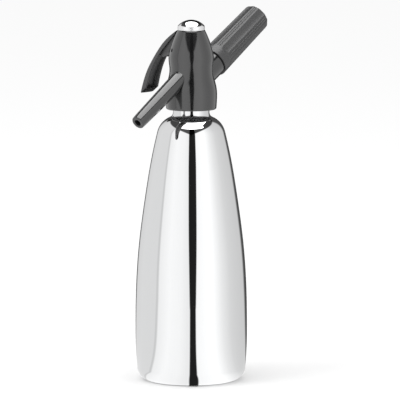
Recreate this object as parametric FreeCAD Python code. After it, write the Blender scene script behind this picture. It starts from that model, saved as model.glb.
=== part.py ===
import FreeCAD, Part
import math
import os

# Soda siphon for one litre, with its lever valve, spout and charger holder.
# Millimetres, +Z up, origin at the centre of the bottle's flat bottom.
# The spout leans down towards -Y, the charger holder up towards +Y, the lever hangs at -X.

Vector = FreeCAD.Vector
X_AXIS = Vector(1, 0, 0)
Y_AXIS = Vector(0, 1, 0)
Z_AXIS = Vector(0, 0, 1)

# Clearances
running_gap = 0.05
loose_gap = 0.2
face_gap = 0.1
thread_gap = 0.3

# Bottle
bottle_wall = 1.2
bottle_floor = 2.0
foot_radius = 36.2
foot_corner = 11.5
side_stations = ((48.4, 20.0), (49.2, 48.0), (46.6, 115.0), (40.5, 163.0), (35.2, 195.0))
shoulder_centre_radius = 11.55
shoulder_centre_height = 215.5
shoulder_arc = 18.7
shoulder_start = 14.0
neck_radius = 16.0
neck_fillet = 4.5
neck_bore = 13.2
neck_rim = 252.0
neck_thread_depth = 0.6
neck_thread_start = 241.5
foot_groove_radius = 28.0
foot_groove_width = 3.0
foot_groove_depth = 0.6

# Tubes that hang in the neck
gasket_thickness = 2.0
gasket_skirt = 5.0
measuring_tube_radius = 10.0
measuring_tube_wall = 0.8
measuring_tube_end = 178.0
measuring_flange_radius = 15.5
measuring_flange = 1.2
siphon_tube_radius = 4.5
siphon_tube_wall = 1.0
siphon_tube_end = 6.0
siphon_socket_depth = 5.0
carrier_depth = 8.0
carrier_hub_radius = 6.2
gas_port_radius = 0.8
gas_port_count = 6

# Head housing
head_belly = ((22.7, 10.3), (22.0, 20.5))
head_taper = ((19.4, -38.7), (19.2, -32.2), (19.9, -25.5), (17.7, -13.7), (15.3, -7.1))
head_skirt = 12.3
head_base_radius = 22.0
head_base_rounding = 1.6
head_room = 24.7
head_top_radius = 12.3
head_cavity_radius = 16.5
head_cavity_room = 0.5

# Thread collar and valve core
collar_outer_radius = 19.5
collar_top_gap = 0.1
core_flange = 3.0
core_radius = 11.0
guide_depth = 5.0
core_arm_wall = 1.6
valve_bore = 5.5
liquid_bore = 3.2
seat_rise = 8.7
seat_thickness = 3.0
seat_bore = 2.6
chamber_length = 15.5
guide_flange_radius = 7.0
guide_flange = 2.0
collar_screw_radius = 1.0
collar_screw_circle = 17.9
collar_screw_count = 4

# Valve stem and its spring
stem_radius = 2.0
stem_foot_radius = 4.2
stem_foot = 1.7
washer_thickness = 2.3
lift_nut_radius = 4.2
lift_nut_height = 2.5
lift_nut_play = 0.2
spring_wire = 1.0
spring_radius = 3.4
spring_turns = 7

# Chrome dome cap
dome_radius = 11.9
dome_band = 3.7
dome_height = 10.0
dome_wall = 6.2
dome_edge = 0.8
dome_spigot_radius = 8.0
dome_spigot_length = 6.5
dome_bore = 4.6

# Lever
pivot_x = -8.0
pivot_drop = 17.0
pin_radius = 1.5
pin_recess = 0.8
hub_radius = 3.6
arm_half_width = 4.0
fork_half_gap = 2.3
nose_radius = 2.0
lever_wall = 1.8
lever_web = 1.8
lever_edge = 1.3
lever_top_half_width = 5.5
lever_tip_half_width = 8.7
lever_back = ((-5.2, 16.5), (-16.2, 8.8), (-29.2, -6.6), (-38.8, -23.6), (-44.1, -41.2))
lever_rims = ((-7.1, 12.3), (-16.9, 2.1), (-27.8, -11.9), (-37.3, -35.9))
lever_slot_drop = 11.2
lever_slot_gap = 0.5

# Slanted axes of the spout and of the charger holder
arm_slope = 31.0
spout_axis_rise = 21.2
holder_axis_rise = 5.7

# Spout
spout_length = 84.0
spout_root_radius = 7.75
spout_tip_radius = 6.1
spout_bore = 3.0
spout_spigot_radius = 5.0
spout_spigot_start = 10.0
spout_shoulder = 17.2
spout_tip_edge = 0.8
spout_seal_radius = 6.3
spout_seal_start = 15.0
spout_seal_width = 1.6
spout_duct_radius = 3.4

# Charger boss and piercer, measured along the holder's axis
boss_radius = 12.3
boss_end = 33.6
piercer_radius = 10.4
piercer_spigot_radius = 6.0
piercer_start = 13.0
piercer_shoulder = 25.0
piercer_end = 45.5
charger_seal_thickness = 1.2
charger_seal_face = 36.0
piercing_pin_radius = 0.75
piercing_pin_point = 2.4
check_ball_radius = 2.2
rim_seal_thickness = 0.5

# Gas charger
charger_length = 66.0
charger_radius = 9.3
charger_neck_radius = 4.4
charger_neck_length = 8.3
charger_shoulder_length = 7.5
charger_wall = 1.4
charger_hole = 0.95

# Charger holder
holder_start = 34.3
holder_length = 71.0
holder_rim_radius = 13.65
holder_end_radius = 12.4
holder_end_wall = 2.0
holder_end_rounding = 1.4
liner_radius = 12.2
liner_length = 12.4
liner_lip = 1.0
pad_thickness = 0.8
flute_count = 6
flute_turn = 24.0
flute_radius = 16.0
flute_depth = 1.0
flute_start = 7.0

# Heights that follow from the sizes above
gasket_top = neck_rim + gasket_thickness
measuring_top = gasket_top + measuring_flange
core_base = measuring_top + face_gap
collar_top = core_base - collar_top_gap
core_flange_top = core_base + core_flange
spout_axis_height = core_base + spout_axis_rise
holder_axis_height = core_base + holder_axis_rise
seat_height = core_base + seat_rise
guide_low = seat_height + chamber_length
core_top = guide_low + guide_depth
head_base = neck_rim - head_skirt
head_cavity_top = core_top + head_cavity_room
head_top = core_top + head_room
pivot_height = head_top - pivot_drop
lever_slot_low = pivot_height - lever_slot_drop
spring_top = head_top + dome_height - dome_wall
lever_outer = tuple((pivot_x + x, pivot_height + z) for x, z in lever_back)
lever_inner = tuple((pivot_x + x, pivot_height + z) for x, z in lever_rims)
collar_base = head_base + 0.5
collar_bore = neck_radius + thread_gap
head_collar_bore = collar_outer_radius + loose_gap
siphon_top = core_base + siphon_socket_depth
stem_low = seat_height + seat_thickness
stem_foot_top = stem_low + washer_thickness + stem_foot
nose_top = pivot_height + nose_radius
lift_nut_low = nose_top + lift_nut_play
lift_nut_top = lift_nut_low + lift_nut_height
charger_bore = charger_radius + 0.4
charger_tip = charger_seal_face + loose_gap
charger_end = charger_tip + charger_length
holder_end = holder_start + holder_length


def rod(radius, low, high):
    """A plain cylinder round Z between two heights."""
    return Part.makeCylinder(radius, high - low, Vector(0, 0, low))


def ring(inner, outer, low, high):
    """A plain ring round Z between two heights."""
    return rod(outer, low, high).cut(rod(inner, low, high))


def turned(points):
    """A solid turned round Z from a closed outline of (radius, height) corners."""
    corners = [Vector(radius, 0, height) for radius, height in points]
    outline = Part.makePolygon(corners + corners[:1])
    return Part.Face(outline).revolve(Vector(0, 0, 0), Z_AXIS, 360)


def turned_edges(edges):
    """A solid turned round Z from edges that close an outline in the XZ plane."""
    outline = Part.Wire(Part.sortEdges(edges)[0])
    return Part.Face(outline).revolve(Vector(0, 0, 0), Z_AXIS, 360)


def line(start, end):
    """A straight edge in the XZ plane between two (radius, height) points."""
    return Part.LineSegment(Vector(start[0], 0, start[1]), Vector(end[0], 0, end[1])).toShape()


def arc(centre, radius, start, end):
    """An arc edge in the XZ plane, its angles in degrees up from the radius direction."""
    points = []
    for angle in (start, (start + end) / 2, end):
        turn = math.radians(angle)
        points.append(Vector(centre[0] + radius * math.cos(turn), 0, centre[1] + radius * math.sin(turn)))
    return Part.Arc(*points).toShape()


def curve(points, start_tangent=None, end_tangent=None):
    """A smooth curve in the XZ plane through a few (x, z) points."""
    spline = Part.BSplineCurve()
    places = [Vector(x, 0, z) for x, z in points]
    if start_tangent is None:
        spline.interpolate(Points=places)
    else:
        spline.interpolate(
            Points=places, InitialTangent=Vector(*start_tangent), FinalTangent=Vector(*end_tangent)
        )
    return spline


def on_holder_axis(shape):
    """Lays a shape made round Z on the holder's axis, which climbs towards +Y."""
    placed = shape.copy()
    placed.rotate(Vector(0, 0, 0), X_AXIS, arm_slope - 90)
    placed.translate(Vector(0, 0, holder_axis_height))
    return placed


def on_spout_axis(shape):
    """Lays a shape made round Z on the spout's axis, which falls towards -Y."""
    placed = shape.copy()
    placed.rotate(Vector(0, 0, 0), X_AXIS, 90 + arm_slope)
    placed.translate(Vector(0, 0, spout_axis_height))
    return placed


def flat_solid(points, half_width):
    """A plate from an outline of (x, z) points, as wide each way from the lever's plane."""
    corners = [Vector(x, -half_width, z) for x, z in points]
    outline = Part.makePolygon(corners + corners[:1])
    return Part.Face(outline).extrude(Vector(0, 2 * half_width, 0))


def bottle_side(inset):
    """The bottle's side from its foot corner to the end of its shoulder, moved in by a wall."""
    corner = arc((foot_radius, foot_corner), foot_corner - inset, -90, 0)
    corner_top = (foot_radius + foot_corner - inset, foot_corner)
    turn = math.radians(shoulder_start)
    shoulder_radius = shoulder_arc - inset
    shoulder_low = (
        shoulder_centre_radius + shoulder_radius * math.cos(turn),
        shoulder_centre_height + shoulder_radius * math.sin(turn),
    )
    stations = [(radius - inset, height) for radius, height in side_stations]
    side = curve(
        [corner_top, *stations, shoulder_low],
        (0.08, 0, 1),
        (-math.sin(turn), 0, math.cos(turn)),
    )
    return corner, side.toShape()


def bottle():
    """The one-piece bottle with its neck, open at the top, flat underneath."""
    centre = (shoulder_centre_radius, shoulder_centre_height)
    corner, side = bottle_side(0)
    reach = shoulder_arc + neck_fillet
    fillet_radius = neck_radius + neck_fillet
    meet = math.degrees(math.acos((fillet_radius - shoulder_centre_radius) / reach))
    fillet_height = shoulder_centre_height + reach * math.sin(math.radians(meet))
    outer = [
        line((0, 0), (foot_radius, 0)),
        corner,
        side,
        arc(centre, shoulder_arc, shoulder_start, meet),
        arc((fillet_radius, fillet_height), neck_fillet, 180 + meet, 180),
        line((neck_radius, fillet_height), (neck_radius, neck_rim)),
        line((neck_radius, neck_rim), (0, neck_rim)),
        line((0, neck_rim), (0, 0)),
    ]
    corner, side = bottle_side(bottle_wall)
    inner_arc = shoulder_arc - bottle_wall
    end = math.degrees(math.acos((neck_bore - shoulder_centre_radius) / inner_arc))
    end_height = shoulder_centre_height + inner_arc * math.sin(math.radians(end))
    above = neck_rim + 1
    inner = [
        line((0, bottle_wall), (foot_radius, bottle_wall)),
        corner,
        side,
        arc(centre, inner_arc, shoulder_start, end),
        line((neck_bore, end_height), (neck_bore, above)),
        line((neck_bore, above), (0, above)),
        line((0, above), (0, bottle_wall)),
    ]
    groove_low = foot_groove_radius - foot_groove_width / 2
    shape = turned_edges(outer).cut(turned_edges(inner))
    shape = shape.fuse(rod(foot_radius, 0, bottle_floor)).removeSplitter()
    groove = ring(groove_low, groove_low + foot_groove_width, -1, foot_groove_depth)
    relief = ring(neck_radius - neck_thread_depth, neck_radius + 1, neck_thread_start, neck_rim + 1)
    return shape.cut(groove).cut(relief)


def neck_gasket():
    """The flanged gasket on the neck's rim, with a skirt down its bore."""
    bore = measuring_tube_radius + running_gap
    flange_radius = neck_radius
    skirt_radius = neck_bore - loose_gap
    low = neck_rim - gasket_skirt
    return turned([
        (bore, low), (skirt_radius - 0.5, low), (skirt_radius, low + 0.8), (skirt_radius, neck_rim),
        (flange_radius, neck_rim), (flange_radius, gasket_top), (bore, gasket_top),
    ])


def measuring_tube():
    """The wide tube whose lower end sets how full the bottle may be."""
    bore = measuring_tube_radius - measuring_tube_wall
    return turned([
        (bore, measuring_tube_end), (measuring_tube_radius, measuring_tube_end),
        (measuring_tube_radius, gasket_top), (measuring_flange_radius, gasket_top),
        (measuring_flange_radius, measuring_top), (bore, measuring_top),
    ])


def tube_carrier():
    """The plug in the measuring tube that holds the siphon tube and lets the gas by."""
    outer = measuring_tube_radius - measuring_tube_wall
    low = measuring_top - carrier_depth
    web_top = measuring_top - carrier_depth / 2
    shape = turned([
        (siphon_tube_radius, low), (outer, low), (outer, measuring_top),
        (outer - 1, measuring_top), (outer - 1, web_top), (carrier_hub_radius, web_top),
        (carrier_hub_radius, measuring_top), (siphon_tube_radius, measuring_top),
    ])
    circle = (carrier_hub_radius + outer - 1) / 2
    for number in range(gas_port_count):
        port = Part.makeCylinder(gas_port_radius, carrier_depth, Vector(circle, 0, low))
        port.rotate(Vector(0, 0, 0), Z_AXIS, 360 * number / gas_port_count)
        shape = shape.cut(port)
    return shape


def siphon_tube():
    """The long tube that draws from the bottom of the bottle, cut slantwise at its foot."""
    bore = siphon_tube_radius - siphon_tube_wall
    shape = ring(bore, siphon_tube_radius, siphon_tube_end, siphon_top)
    wedge = Part.makeBox(40, 40, 20, Vector(-20, -20, -20))
    wedge.rotate(Vector(0, 0, 0), Y_AXIS, 35)
    wedge.translate(Vector(0, 0, siphon_tube_end + 3))
    return shape.cut(wedge)


def siphon_seal():
    """The ring that seals the siphon tube's top in the valve core."""
    bore = siphon_tube_radius + running_gap
    low = core_base + 1.6
    return ring(bore, bore + 1.4, low, low + 2.4)


def thread_collar():
    """The metal collar with the thread that grips the bottle's neck."""
    shape = turned([
        (collar_bore, collar_base + 0.8), (collar_bore + 0.8, collar_base),
        (collar_outer_radius, collar_base), (collar_outer_radius, collar_top),
        (collar_bore, collar_top),
    ])
    for hole in collar_screw_places(collar_screw_radius, collar_top - 8, collar_top + 1):
        shape = shape.cut(hole)
    return shape


def collar_screw_places(radius, low, high):
    """One upright cylinder at each of the collar's screws."""
    places = []
    for number in range(collar_screw_count):
        place = Part.makeCylinder(radius, high - low, Vector(collar_screw_circle, 0, low))
        place.rotate(Vector(0, 0, 0), Z_AXIS, 45 + 360 * number / collar_screw_count)
        places.append(place)
    return places


def collar_screws():
    """The screws that hold the collar to the valve core's flange."""
    shanks = collar_screw_places(collar_screw_radius, collar_top - 7, core_flange_top)
    heads = collar_screw_places(collar_screw_radius * 1.7, core_flange_top - 1.2, core_flange_top - 0.1)
    screws = []
    for shank, head in zip(shanks, heads):
        screws.append(shank.fuse(head).removeSplitter())
    return Part.makeCompound(screws)


def valve_core():
    """The cast valve body: flange, barrel, and one slanted socket each for spout and piercer."""
    spout_socket = on_spout_axis(rod(spout_root_radius + core_arm_wall, 0, 40))
    piercer_socket = on_holder_axis(rod(piercer_spigot_radius + 2 * core_arm_wall, 0, 40))
    room = rod(head_cavity_radius - thread_gap, core_flange_top - 0.5, core_top)
    arms = spout_socket.fuse(piercer_socket).common(room)
    shape = rod(core_radius, core_base, core_top).fuse(arms)
    shape = shape.fuse(rod(collar_outer_radius, core_base, core_flange_top))
    siphon_socket = rod(siphon_tube_radius + running_gap, core_base - 1, siphon_top + 0.5)
    seal_low = core_base + 1.6
    seal_groove = rod(siphon_tube_radius + running_gap + 1.4, seal_low, seal_low + 2.4)
    gas_ring = ring(siphon_tube_radius + 2.6, measuring_flange_radius - 4.6, core_base - 1, core_base + 1)
    shape = shape.cut(siphon_socket).cut(seal_groove).cut(gas_ring)
    shape = shape.cut(rod(liquid_bore, core_base, seat_height + 1))
    shape = shape.cut(rod(valve_bore, seat_height, core_top + 1))
    # Spout side: duct, spigot bore, seal groove and the counterbore for the spout's root
    shape = shape.cut(on_spout_axis(rod(spout_duct_radius, 0, spout_seal_start + 1)))
    shape = shape.cut(on_spout_axis(rod(spout_spigot_radius, spout_spigot_start - face_gap, 40)))
    shape = shape.cut(on_spout_axis(rod(spout_seal_radius, spout_seal_start, 40)))
    counterbore = spout_seal_start + spout_seal_width
    shape = shape.cut(on_spout_axis(rod(spout_root_radius + running_gap, counterbore, 40)))
    # Gas side: bore for the piercer, pocket for the ball, and the duct down to the neck
    ball_pocket = check_ball_radius + 0.5
    pocket_start = piercer_start - 2 * check_ball_radius + 0.8
    shape = shape.cut(on_holder_axis(rod(piercer_spigot_radius, piercer_start, 40)))
    shape = shape.cut(on_holder_axis(rod(ball_pocket, pocket_start, piercer_start + 1)))
    duct_y = (pocket_start + 1) * math.cos(math.radians(arm_slope))
    duct = Part.makeCylinder(1.2, 9, Vector(0, duct_y, core_base))
    shape = shape.cut(duct)
    for hole in collar_screw_places(collar_screw_radius, core_base - 1, core_flange_top + 1):
        shape = shape.cut(hole)
    for sink in collar_screw_places(collar_screw_radius * 1.7, core_flange_top - 1.2, core_flange_top + 1):
        shape = shape.cut(sink)
    return shape.removeSplitter()


def valve_seat():
    """The seat ring with its raised lip, pressed into the core below the washer."""
    top = seat_height + seat_thickness
    return turned([
        (seat_bore, seat_height), (valve_bore, seat_height), (valve_bore, top - 0.8),
        (seat_bore + 1.2, top - 0.8), (seat_bore + 0.6, top), (seat_bore, top),
    ])


def stem_guide():
    """The screwed plug that closes the valve chamber and guides the stem."""
    bore = stem_radius + running_gap
    flange_low = core_top
    flange_top = core_top + guide_flange
    shape = turned([
        (bore, guide_low), (valve_bore, guide_low), (valve_bore, flange_low),
        (guide_flange_radius, flange_low), (guide_flange_radius, flange_top - 0.5),
        (guide_flange_radius - 0.5, flange_top), (bore, flange_top),
    ])
    return shape.cut(rod(stem_radius + 1.5, guide_low - 1, guide_low + 1.8))


def stem_seal():
    """The ring that seals the stem under its guide."""
    return ring(stem_radius + running_gap, stem_radius + 1.45, guide_low + 0.1, guide_low + 1.7)


def valve_stem():
    """The stem, with the foot that carries the washer and a thread for the lift nut."""
    washer_top = stem_low + washer_thickness
    return turned([
        (0, stem_low + 0.5), (1.2, stem_low + 0.5), (1.2, washer_top), (stem_foot_radius, washer_top),
        (stem_foot_radius, stem_foot_top), (stem_radius, stem_foot_top + 0.8),
        (stem_radius, lift_nut_low), (stem_radius - 0.4, lift_nut_low),
        (stem_radius - 0.4, lift_nut_top + 1.5), (0, lift_nut_top + 1.5),
    ])


def valve_washer():
    """The rubber washer that closes on the seat."""
    washer_top = stem_low + washer_thickness
    return turned([
        (0, stem_low + face_gap), (stem_foot_radius, stem_low + face_gap), (stem_foot_radius, washer_top),
        (1.2, washer_top), (1.2, stem_low + 0.5), (0, stem_low + 0.5),
    ])


def lift_nut():
    """The collar nut on the stem that the lever's fork lifts."""
    return turned([
        (stem_radius - 0.4, lift_nut_low), (lift_nut_radius, lift_nut_low),
        (lift_nut_radius, lift_nut_top - 1), (spring_radius - spring_wire, lift_nut_top - 1),
        (spring_radius - spring_wire, lift_nut_top), (stem_radius - 0.4, lift_nut_top),
    ])


def stem_spring():
    """The coil spring that pushes the stem down on its seat."""
    low = lift_nut_top - 1 + spring_wire / 2 + face_gap
    high = spring_top - spring_wire / 2 - face_gap
    pitch = (high - low) / spring_turns
    helix = Part.makeHelix(pitch, high - low, spring_radius)
    helix.translate(Vector(0, 0, low))
    section = Part.makeCircle(spring_wire / 2, Vector(spring_radius, 0, low), Y_AXIS)
    coil = Part.Wire(helix.Edges).makePipeShell([Part.Wire(section)], True, True)
    print("least gap between the spring's turns", round(pitch - spring_wire, 2))
    return coil


def dome_cap():
    """The domed cap that screws into the head's top and holds the spring."""
    band_top = head_top + dome_band
    crown = head_top + dome_height
    rise = crown - band_top
    ball = (dome_radius ** 2 + rise ** 2) / (2 * rise)
    lean = math.degrees(math.asin((dome_radius - dome_edge * 0.3) / ball))
    start = 90 - lean
    centre = (0, crown - ball)
    rim = (ball * math.cos(math.radians(start)), centre[1] + ball * math.sin(math.radians(start)))
    spigot_low = head_top - dome_spigot_length
    edges = [
        line((dome_bore, spigot_low), (dome_spigot_radius - 0.6, spigot_low)),
        line((dome_spigot_radius - 0.6, spigot_low), (dome_spigot_radius, spigot_low + 0.6)),
        line((dome_spigot_radius, spigot_low + 0.6), (dome_spigot_radius, head_top + face_gap)),
        line((dome_spigot_radius, head_top + face_gap), (dome_radius - 0.3, head_top + face_gap)),
        line((dome_radius - 0.3, head_top + face_gap), (dome_radius, head_top + 0.4)),
        line((dome_radius, head_top + 0.4), (dome_radius, band_top - 0.3)),
        line((dome_radius, band_top - 0.3), rim),
        arc(centre, ball, start, 90),
        line((0, crown), (0, spring_top)),
        line((0, spring_top), (dome_bore, spring_top)),
        line((dome_bore, spring_top), (dome_bore, spigot_low)),
    ]
    return turned_edges(edges)


def lever_widths(half_top, half_tip):
    """The tapering width of the lever, as a wedge to trim its sides with."""
    top = lever_outer[0][1] + 1
    low = lever_outer[-1][1] - 1
    grow = (half_tip - half_top) / (lever_outer[0][1] - lever_outer[-1][1])
    wide = half_tip + grow
    narrow = half_top - grow
    corners = [(-narrow, top), (narrow, top), (wide, low), (-wide, low)]
    beyond = lever_outer[-1][0] - half_tip
    points = [Vector(beyond, y, z) for y, z in corners]
    return Part.Face(Part.makePolygon(points + points[:1])).extrude(Vector(-beyond, 0, 0))


def lever_side(outer, inner):
    """The lever's outline in its own plane, between an outer and an inner curve."""
    first = outer.value(outer.FirstParameter)
    last = outer.value(outer.LastParameter)
    near = inner.value(inner.FirstParameter)
    far = inner.value(inner.LastParameter)
    edges = [
        outer.toShape(),
        Part.LineSegment(last, far).toShape(),
        inner.toShape(),
        Part.LineSegment(near, first).toShape(),
    ]
    return Part.Face(Part.Wire(Part.sortEdges(edges)[0]))


def inside_curve(outer, depth, steps=8):
    """Points on the inner side of a curve, at one depth from it."""
    points = []
    first, last = outer.FirstParameter, outer.LastParameter
    for step in range(steps + 1):
        at = first + (last - first) * step / steps
        place = outer.value(at)
        tangent = outer.tangent(at)[0]
        points.append((place.x - tangent.z * depth, place.z + tangent.x * depth))
    return points


def lever():
    """The lever: a curved channel with an arm, a hub on the pin and a fork under the lift nut."""
    outer = curve(lever_outer)
    inner = curve(lever_inner)
    half = lever_tip_half_width + 2
    blade = lever_side(outer, inner)
    blade.translate(Vector(0, -half, 0))
    blade = blade.extrude(Vector(0, 2 * half, 0))
    blade = blade.common(lever_widths(lever_top_half_width, lever_tip_half_width))
    blade = round_lever(blade, outer.toShape())
    inside = inside_curve(outer, lever_web)
    hollow = inside + [(inside[-1][0] + 30, inside[-1][1] - 6), (inside[0][0] + 30, inside[0][1] - 4)]
    channel = flat_solid([(inside[0][0] + 3, inside[0][1] + 3)] + hollow, half)
    tip_inner_width = lever_tip_half_width - lever_wall
    channel = channel.common(lever_widths(lever_top_half_width - lever_wall, tip_inner_width))
    middle = inside_curve(outer, lever_web * 0.6)
    arm_low = pivot_height - hub_radius
    arm = flat_solid(
        [(pivot_x, pivot_height + hub_radius)] + middle[1:5]
        + [(middle[4][0] + 5.5, arm_low - 4.5), (pivot_x - 9, arm_low - 0.6), (pivot_x, arm_low)],
        arm_half_width,
    )
    hub = across(hub_radius, pivot_x, pivot_height, arm_half_width)
    prong = flat_solid(
        [(pivot_x, pivot_height + nose_radius), (0, pivot_height + nose_radius),
         (0, pivot_height - nose_radius), (pivot_x, pivot_height - nose_radius)],
        arm_half_width,
    )
    nose = across(nose_radius, 0, pivot_height, arm_half_width)
    fork_gap = Part.makeBox(
        nose_radius + 6, 2 * fork_half_gap, 4 * hub_radius,
        Vector(-stem_radius - 1.2, -fork_half_gap, pivot_height - 2 * hub_radius),
    )
    fork = prong.fuse(nose).cut(fork_gap)
    shape = blade.cut(channel).fuse([arm, hub, fork])
    return shape.cut(across(pin_radius + running_gap, pivot_x, pivot_height, half)).removeSplitter()


def round_lever(blade, back):
    """Rounds the two long edges on the lever's back, which lie beside its plane."""
    long_edges = []
    for edge in blade.Edges:
        middle = edge.valueAt((edge.FirstParameter + edge.LastParameter) / 2)
        in_plane = Part.Vertex(middle.x, 0, middle.z)
        if abs(middle.y) > lever_edge and in_plane.distToShape(back)[0] < running_gap:
            long_edges.append(edge)
    return blade.makeFillet(lever_edge, long_edges)


def across(radius, x, height, half_width):
    """A cylinder along Y, centred on the lever's plane."""
    return Part.makeCylinder(radius, 2 * half_width, Vector(x, -half_width, height), Y_AXIS)


def lever_pin():
    """The steel pin that the lever turns on, sunk a little in the head's sides."""
    return across(pin_radius, pivot_x, pivot_height, pin_half_length())


def pin_half_length():
    """Half the pin's length, from the head's outside at the pin's height."""
    side = head_side()
    for step in range(200):
        place = side.value(side.FirstParameter + (side.LastParameter - side.FirstParameter) * step / 199)
        if place.z >= pivot_height:
            return math.sqrt(place.x ** 2 - pivot_x ** 2) - pin_recess
    raise ValueError("the pin stands above the head")


def head_side():
    """The head's outer profile, with its belly, waist and taper to the cap."""
    start = (head_base_radius + 0.2, head_base + head_base_rounding)
    belly = [(radius, head_base + rise) for radius, rise in head_belly]
    taper = [(radius, head_top + rise) for radius, rise in head_taper]
    return curve([start, *belly, *taper, (head_top_radius, head_top)])


def head_cover():
    """The moulded head with its boss, its spout hole and the slot for the lever."""
    side = head_side()
    start = side.value(side.FirstParameter)
    low_radius = start.x - head_base_rounding
    edges = [
        line((0, head_base), (low_radius, head_base)),
        arc((low_radius, start.z), head_base_rounding, -90, 0),
        side.toShape(),
        line((head_top_radius, head_top), (0, head_top)),
        line((0, head_top), (0, head_base)),
    ]
    boss = on_holder_axis(rod(boss_radius, 0, boss_end))
    shape = turned_edges(edges).fuse(boss)
    collar_room = rod(head_collar_bore, head_base - 1, core_flange_top + face_gap)
    cavity = rod(head_cavity_radius, head_base, head_cavity_top)
    stem_room = rod(lift_nut_radius + 2.4, head_cavity_top - 1, head_top - dome_spigot_length - 0.3)
    guide_room = rod(guide_flange_radius + 0.3, head_cavity_top - 1, core_top + guide_flange + 0.3)
    cap_room = rod(dome_spigot_radius, head_top - dome_spigot_length - 0.8, head_top + 1)
    shape = shape.cut(collar_room.fuse([cavity, stem_room, guide_room, cap_room]))
    shape = shape.cut(on_spout_axis(rod(spout_root_radius + running_gap, spout_shoulder - 4, 60)))
    shape = shape.cut(on_holder_axis(rod(piercer_radius + loose_gap, piercer_start, boss_end + 1)))
    slot_half = arm_half_width + lever_slot_gap
    slot = Part.makeBox(
        34, 2 * slot_half, head_top - 5 - lever_slot_low, Vector(-30, -slot_half, lever_slot_low)
    )
    seat_half = lever_top_half_width + lever_slot_gap + 0.4
    top_seat = Part.makeBox(
        20, 2 * seat_half, 40, Vector(-20 + lever_outer[0][0] + lever_web + 0.7, -seat_half, head_top - 10)
    )
    shape = shape.cut(slot).cut(top_seat)
    return shape.cut(across(pin_radius, pivot_x, pivot_height, 30)).removeSplitter()


def spout():
    """The tapered spout with its spigot in the valve core."""
    edges = [
        line((spout_bore, spout_spigot_start), (spout_spigot_radius, spout_spigot_start)),
        line((spout_spigot_radius, spout_spigot_start), (spout_spigot_radius, spout_shoulder)),
        line((spout_spigot_radius, spout_shoulder), (spout_root_radius, spout_shoulder)),
        line((spout_root_radius, spout_shoulder), (spout_tip_radius, spout_length - spout_tip_edge)),
        line(
            (spout_tip_radius, spout_length - spout_tip_edge),
            (spout_tip_radius - spout_tip_edge, spout_length),
        ),
        line((spout_tip_radius - spout_tip_edge, spout_length), (spout_bore, spout_length)),
        line((spout_bore, spout_length), (spout_bore, spout_spigot_start)),
    ]
    return on_spout_axis(turned_edges(edges))


def spout_seal():
    """The ring that seals the spout's spigot in the core."""
    start = spout_seal_start + face_gap / 2
    end = spout_seal_start + spout_seal_width - face_gap / 2
    return on_spout_axis(ring(spout_spigot_radius, spout_seal_radius - 0.05, start, end))


def piercer_body():
    """The nipple that the holder screws on, with a cup for the charger's neck."""
    cup_radius = charger_neck_radius + 0.5
    seal_low = charger_seal_face - charger_seal_thickness
    return on_holder_axis(turned([
        (1.0, piercer_start), (piercer_spigot_radius, piercer_start),
        (piercer_spigot_radius, piercer_shoulder), (piercer_radius, piercer_shoulder),
        (piercer_radius, piercer_end - 0.8), (piercer_radius - 0.8, piercer_end),
        (cup_radius + 1.7, piercer_end), (cup_radius, piercer_end - 2.2),
        (cup_radius, seal_low), (piercing_pin_radius + 0.8, seal_low),
        (piercing_pin_radius + 0.8, seal_low - 4), (1.0, seal_low - 4),
    ]))


def piercing_pin():
    """The hollow-ground pin that opens the charger, on its own flanged foot."""
    pin_foot_radius = piercing_pin_radius + 0.8
    foot = charger_seal_face - charger_seal_thickness - 4
    tip = charger_seal_face + piercing_pin_point
    pin = turned([
        (0, foot), (pin_foot_radius, foot), (pin_foot_radius, foot + 2.5),
        (piercing_pin_radius, foot + 3), (piercing_pin_radius, tip - 1.2), (0, tip),
    ])
    gas_way = Part.makeBox(0.5, 4, 10, Vector(-0.25, -2, foot - 1))
    return on_holder_axis(pin.cut(gas_way.common(rod(pin_foot_radius + 1, foot - 1, foot + 2.9))))


def charger_seal():
    """The ring that seals on the charger's mouth, round the pin."""
    low = charger_seal_face - charger_seal_thickness
    return on_holder_axis(ring(piercing_pin_radius + 0.9, charger_neck_radius + 0.45, low, charger_seal_face))


def rim_seal():
    """The flat ring between the boss and the holder's rim."""
    return on_holder_axis(ring(piercer_radius + 0.1, boss_radius - 0.1, boss_end, boss_end + rim_seal_thickness))


def check_ball():
    """The ball that lets gas in and keeps it from coming back."""
    ball = Part.makeSphere(check_ball_radius, Vector(0, 0, piercer_start - check_ball_radius - 0.1))
    pocket_start = piercer_start - 2 * check_ball_radius + 0.8
    return on_holder_axis(ball.common(rod(10, pocket_start + 0.1, piercer_start)))


def co2_charger():
    """The steel gas charger, already pierced, with its neck in the piercer."""
    neck_end = charger_tip + charger_neck_length
    body_start = neck_end + charger_shoulder_length
    body_end = charger_end - charger_radius * 0.55
    wall = charger_wall

    def skin(inset):
        neck = charger_neck_radius - inset
        body = charger_radius - inset
        shoulder = curve(
            [(neck, neck_end), ((neck + body) / 2, neck_end + charger_shoulder_length * 0.4),
             (body, body_start)],
            (0.4, 0, 1), (0, 0, 1),
        )
        end = curve([(body, body_end), (body * 0.72, charger_end - 1.6 - inset), (0, charger_end - inset)],
                    (0, 0, 1), (-1, 0, 0))
        return neck, body, shoulder.toShape(), end.toShape()

    neck, body, shoulder, end = skin(0)
    outer = turned_edges([
        line((0, charger_tip), (neck, charger_tip)), line((neck, charger_tip), (neck, neck_end)), shoulder,
        line((body, body_start), (body, body_end)), end, line((0, charger_end), (0, charger_tip)),
    ])
    neck, body, shoulder, end = skin(wall)
    low = charger_tip + wall
    hollow = turned_edges([
        line((0, low), (neck, low)), line((neck, low), (neck, neck_end)), shoulder,
        line((body, body_start), (body, body_end)), end, line((0, charger_end - wall), (0, low)),
    ])
    return on_holder_axis(outer.cut(hollow).cut(rod(charger_hole, charger_tip - 1, low + 1)))


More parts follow.
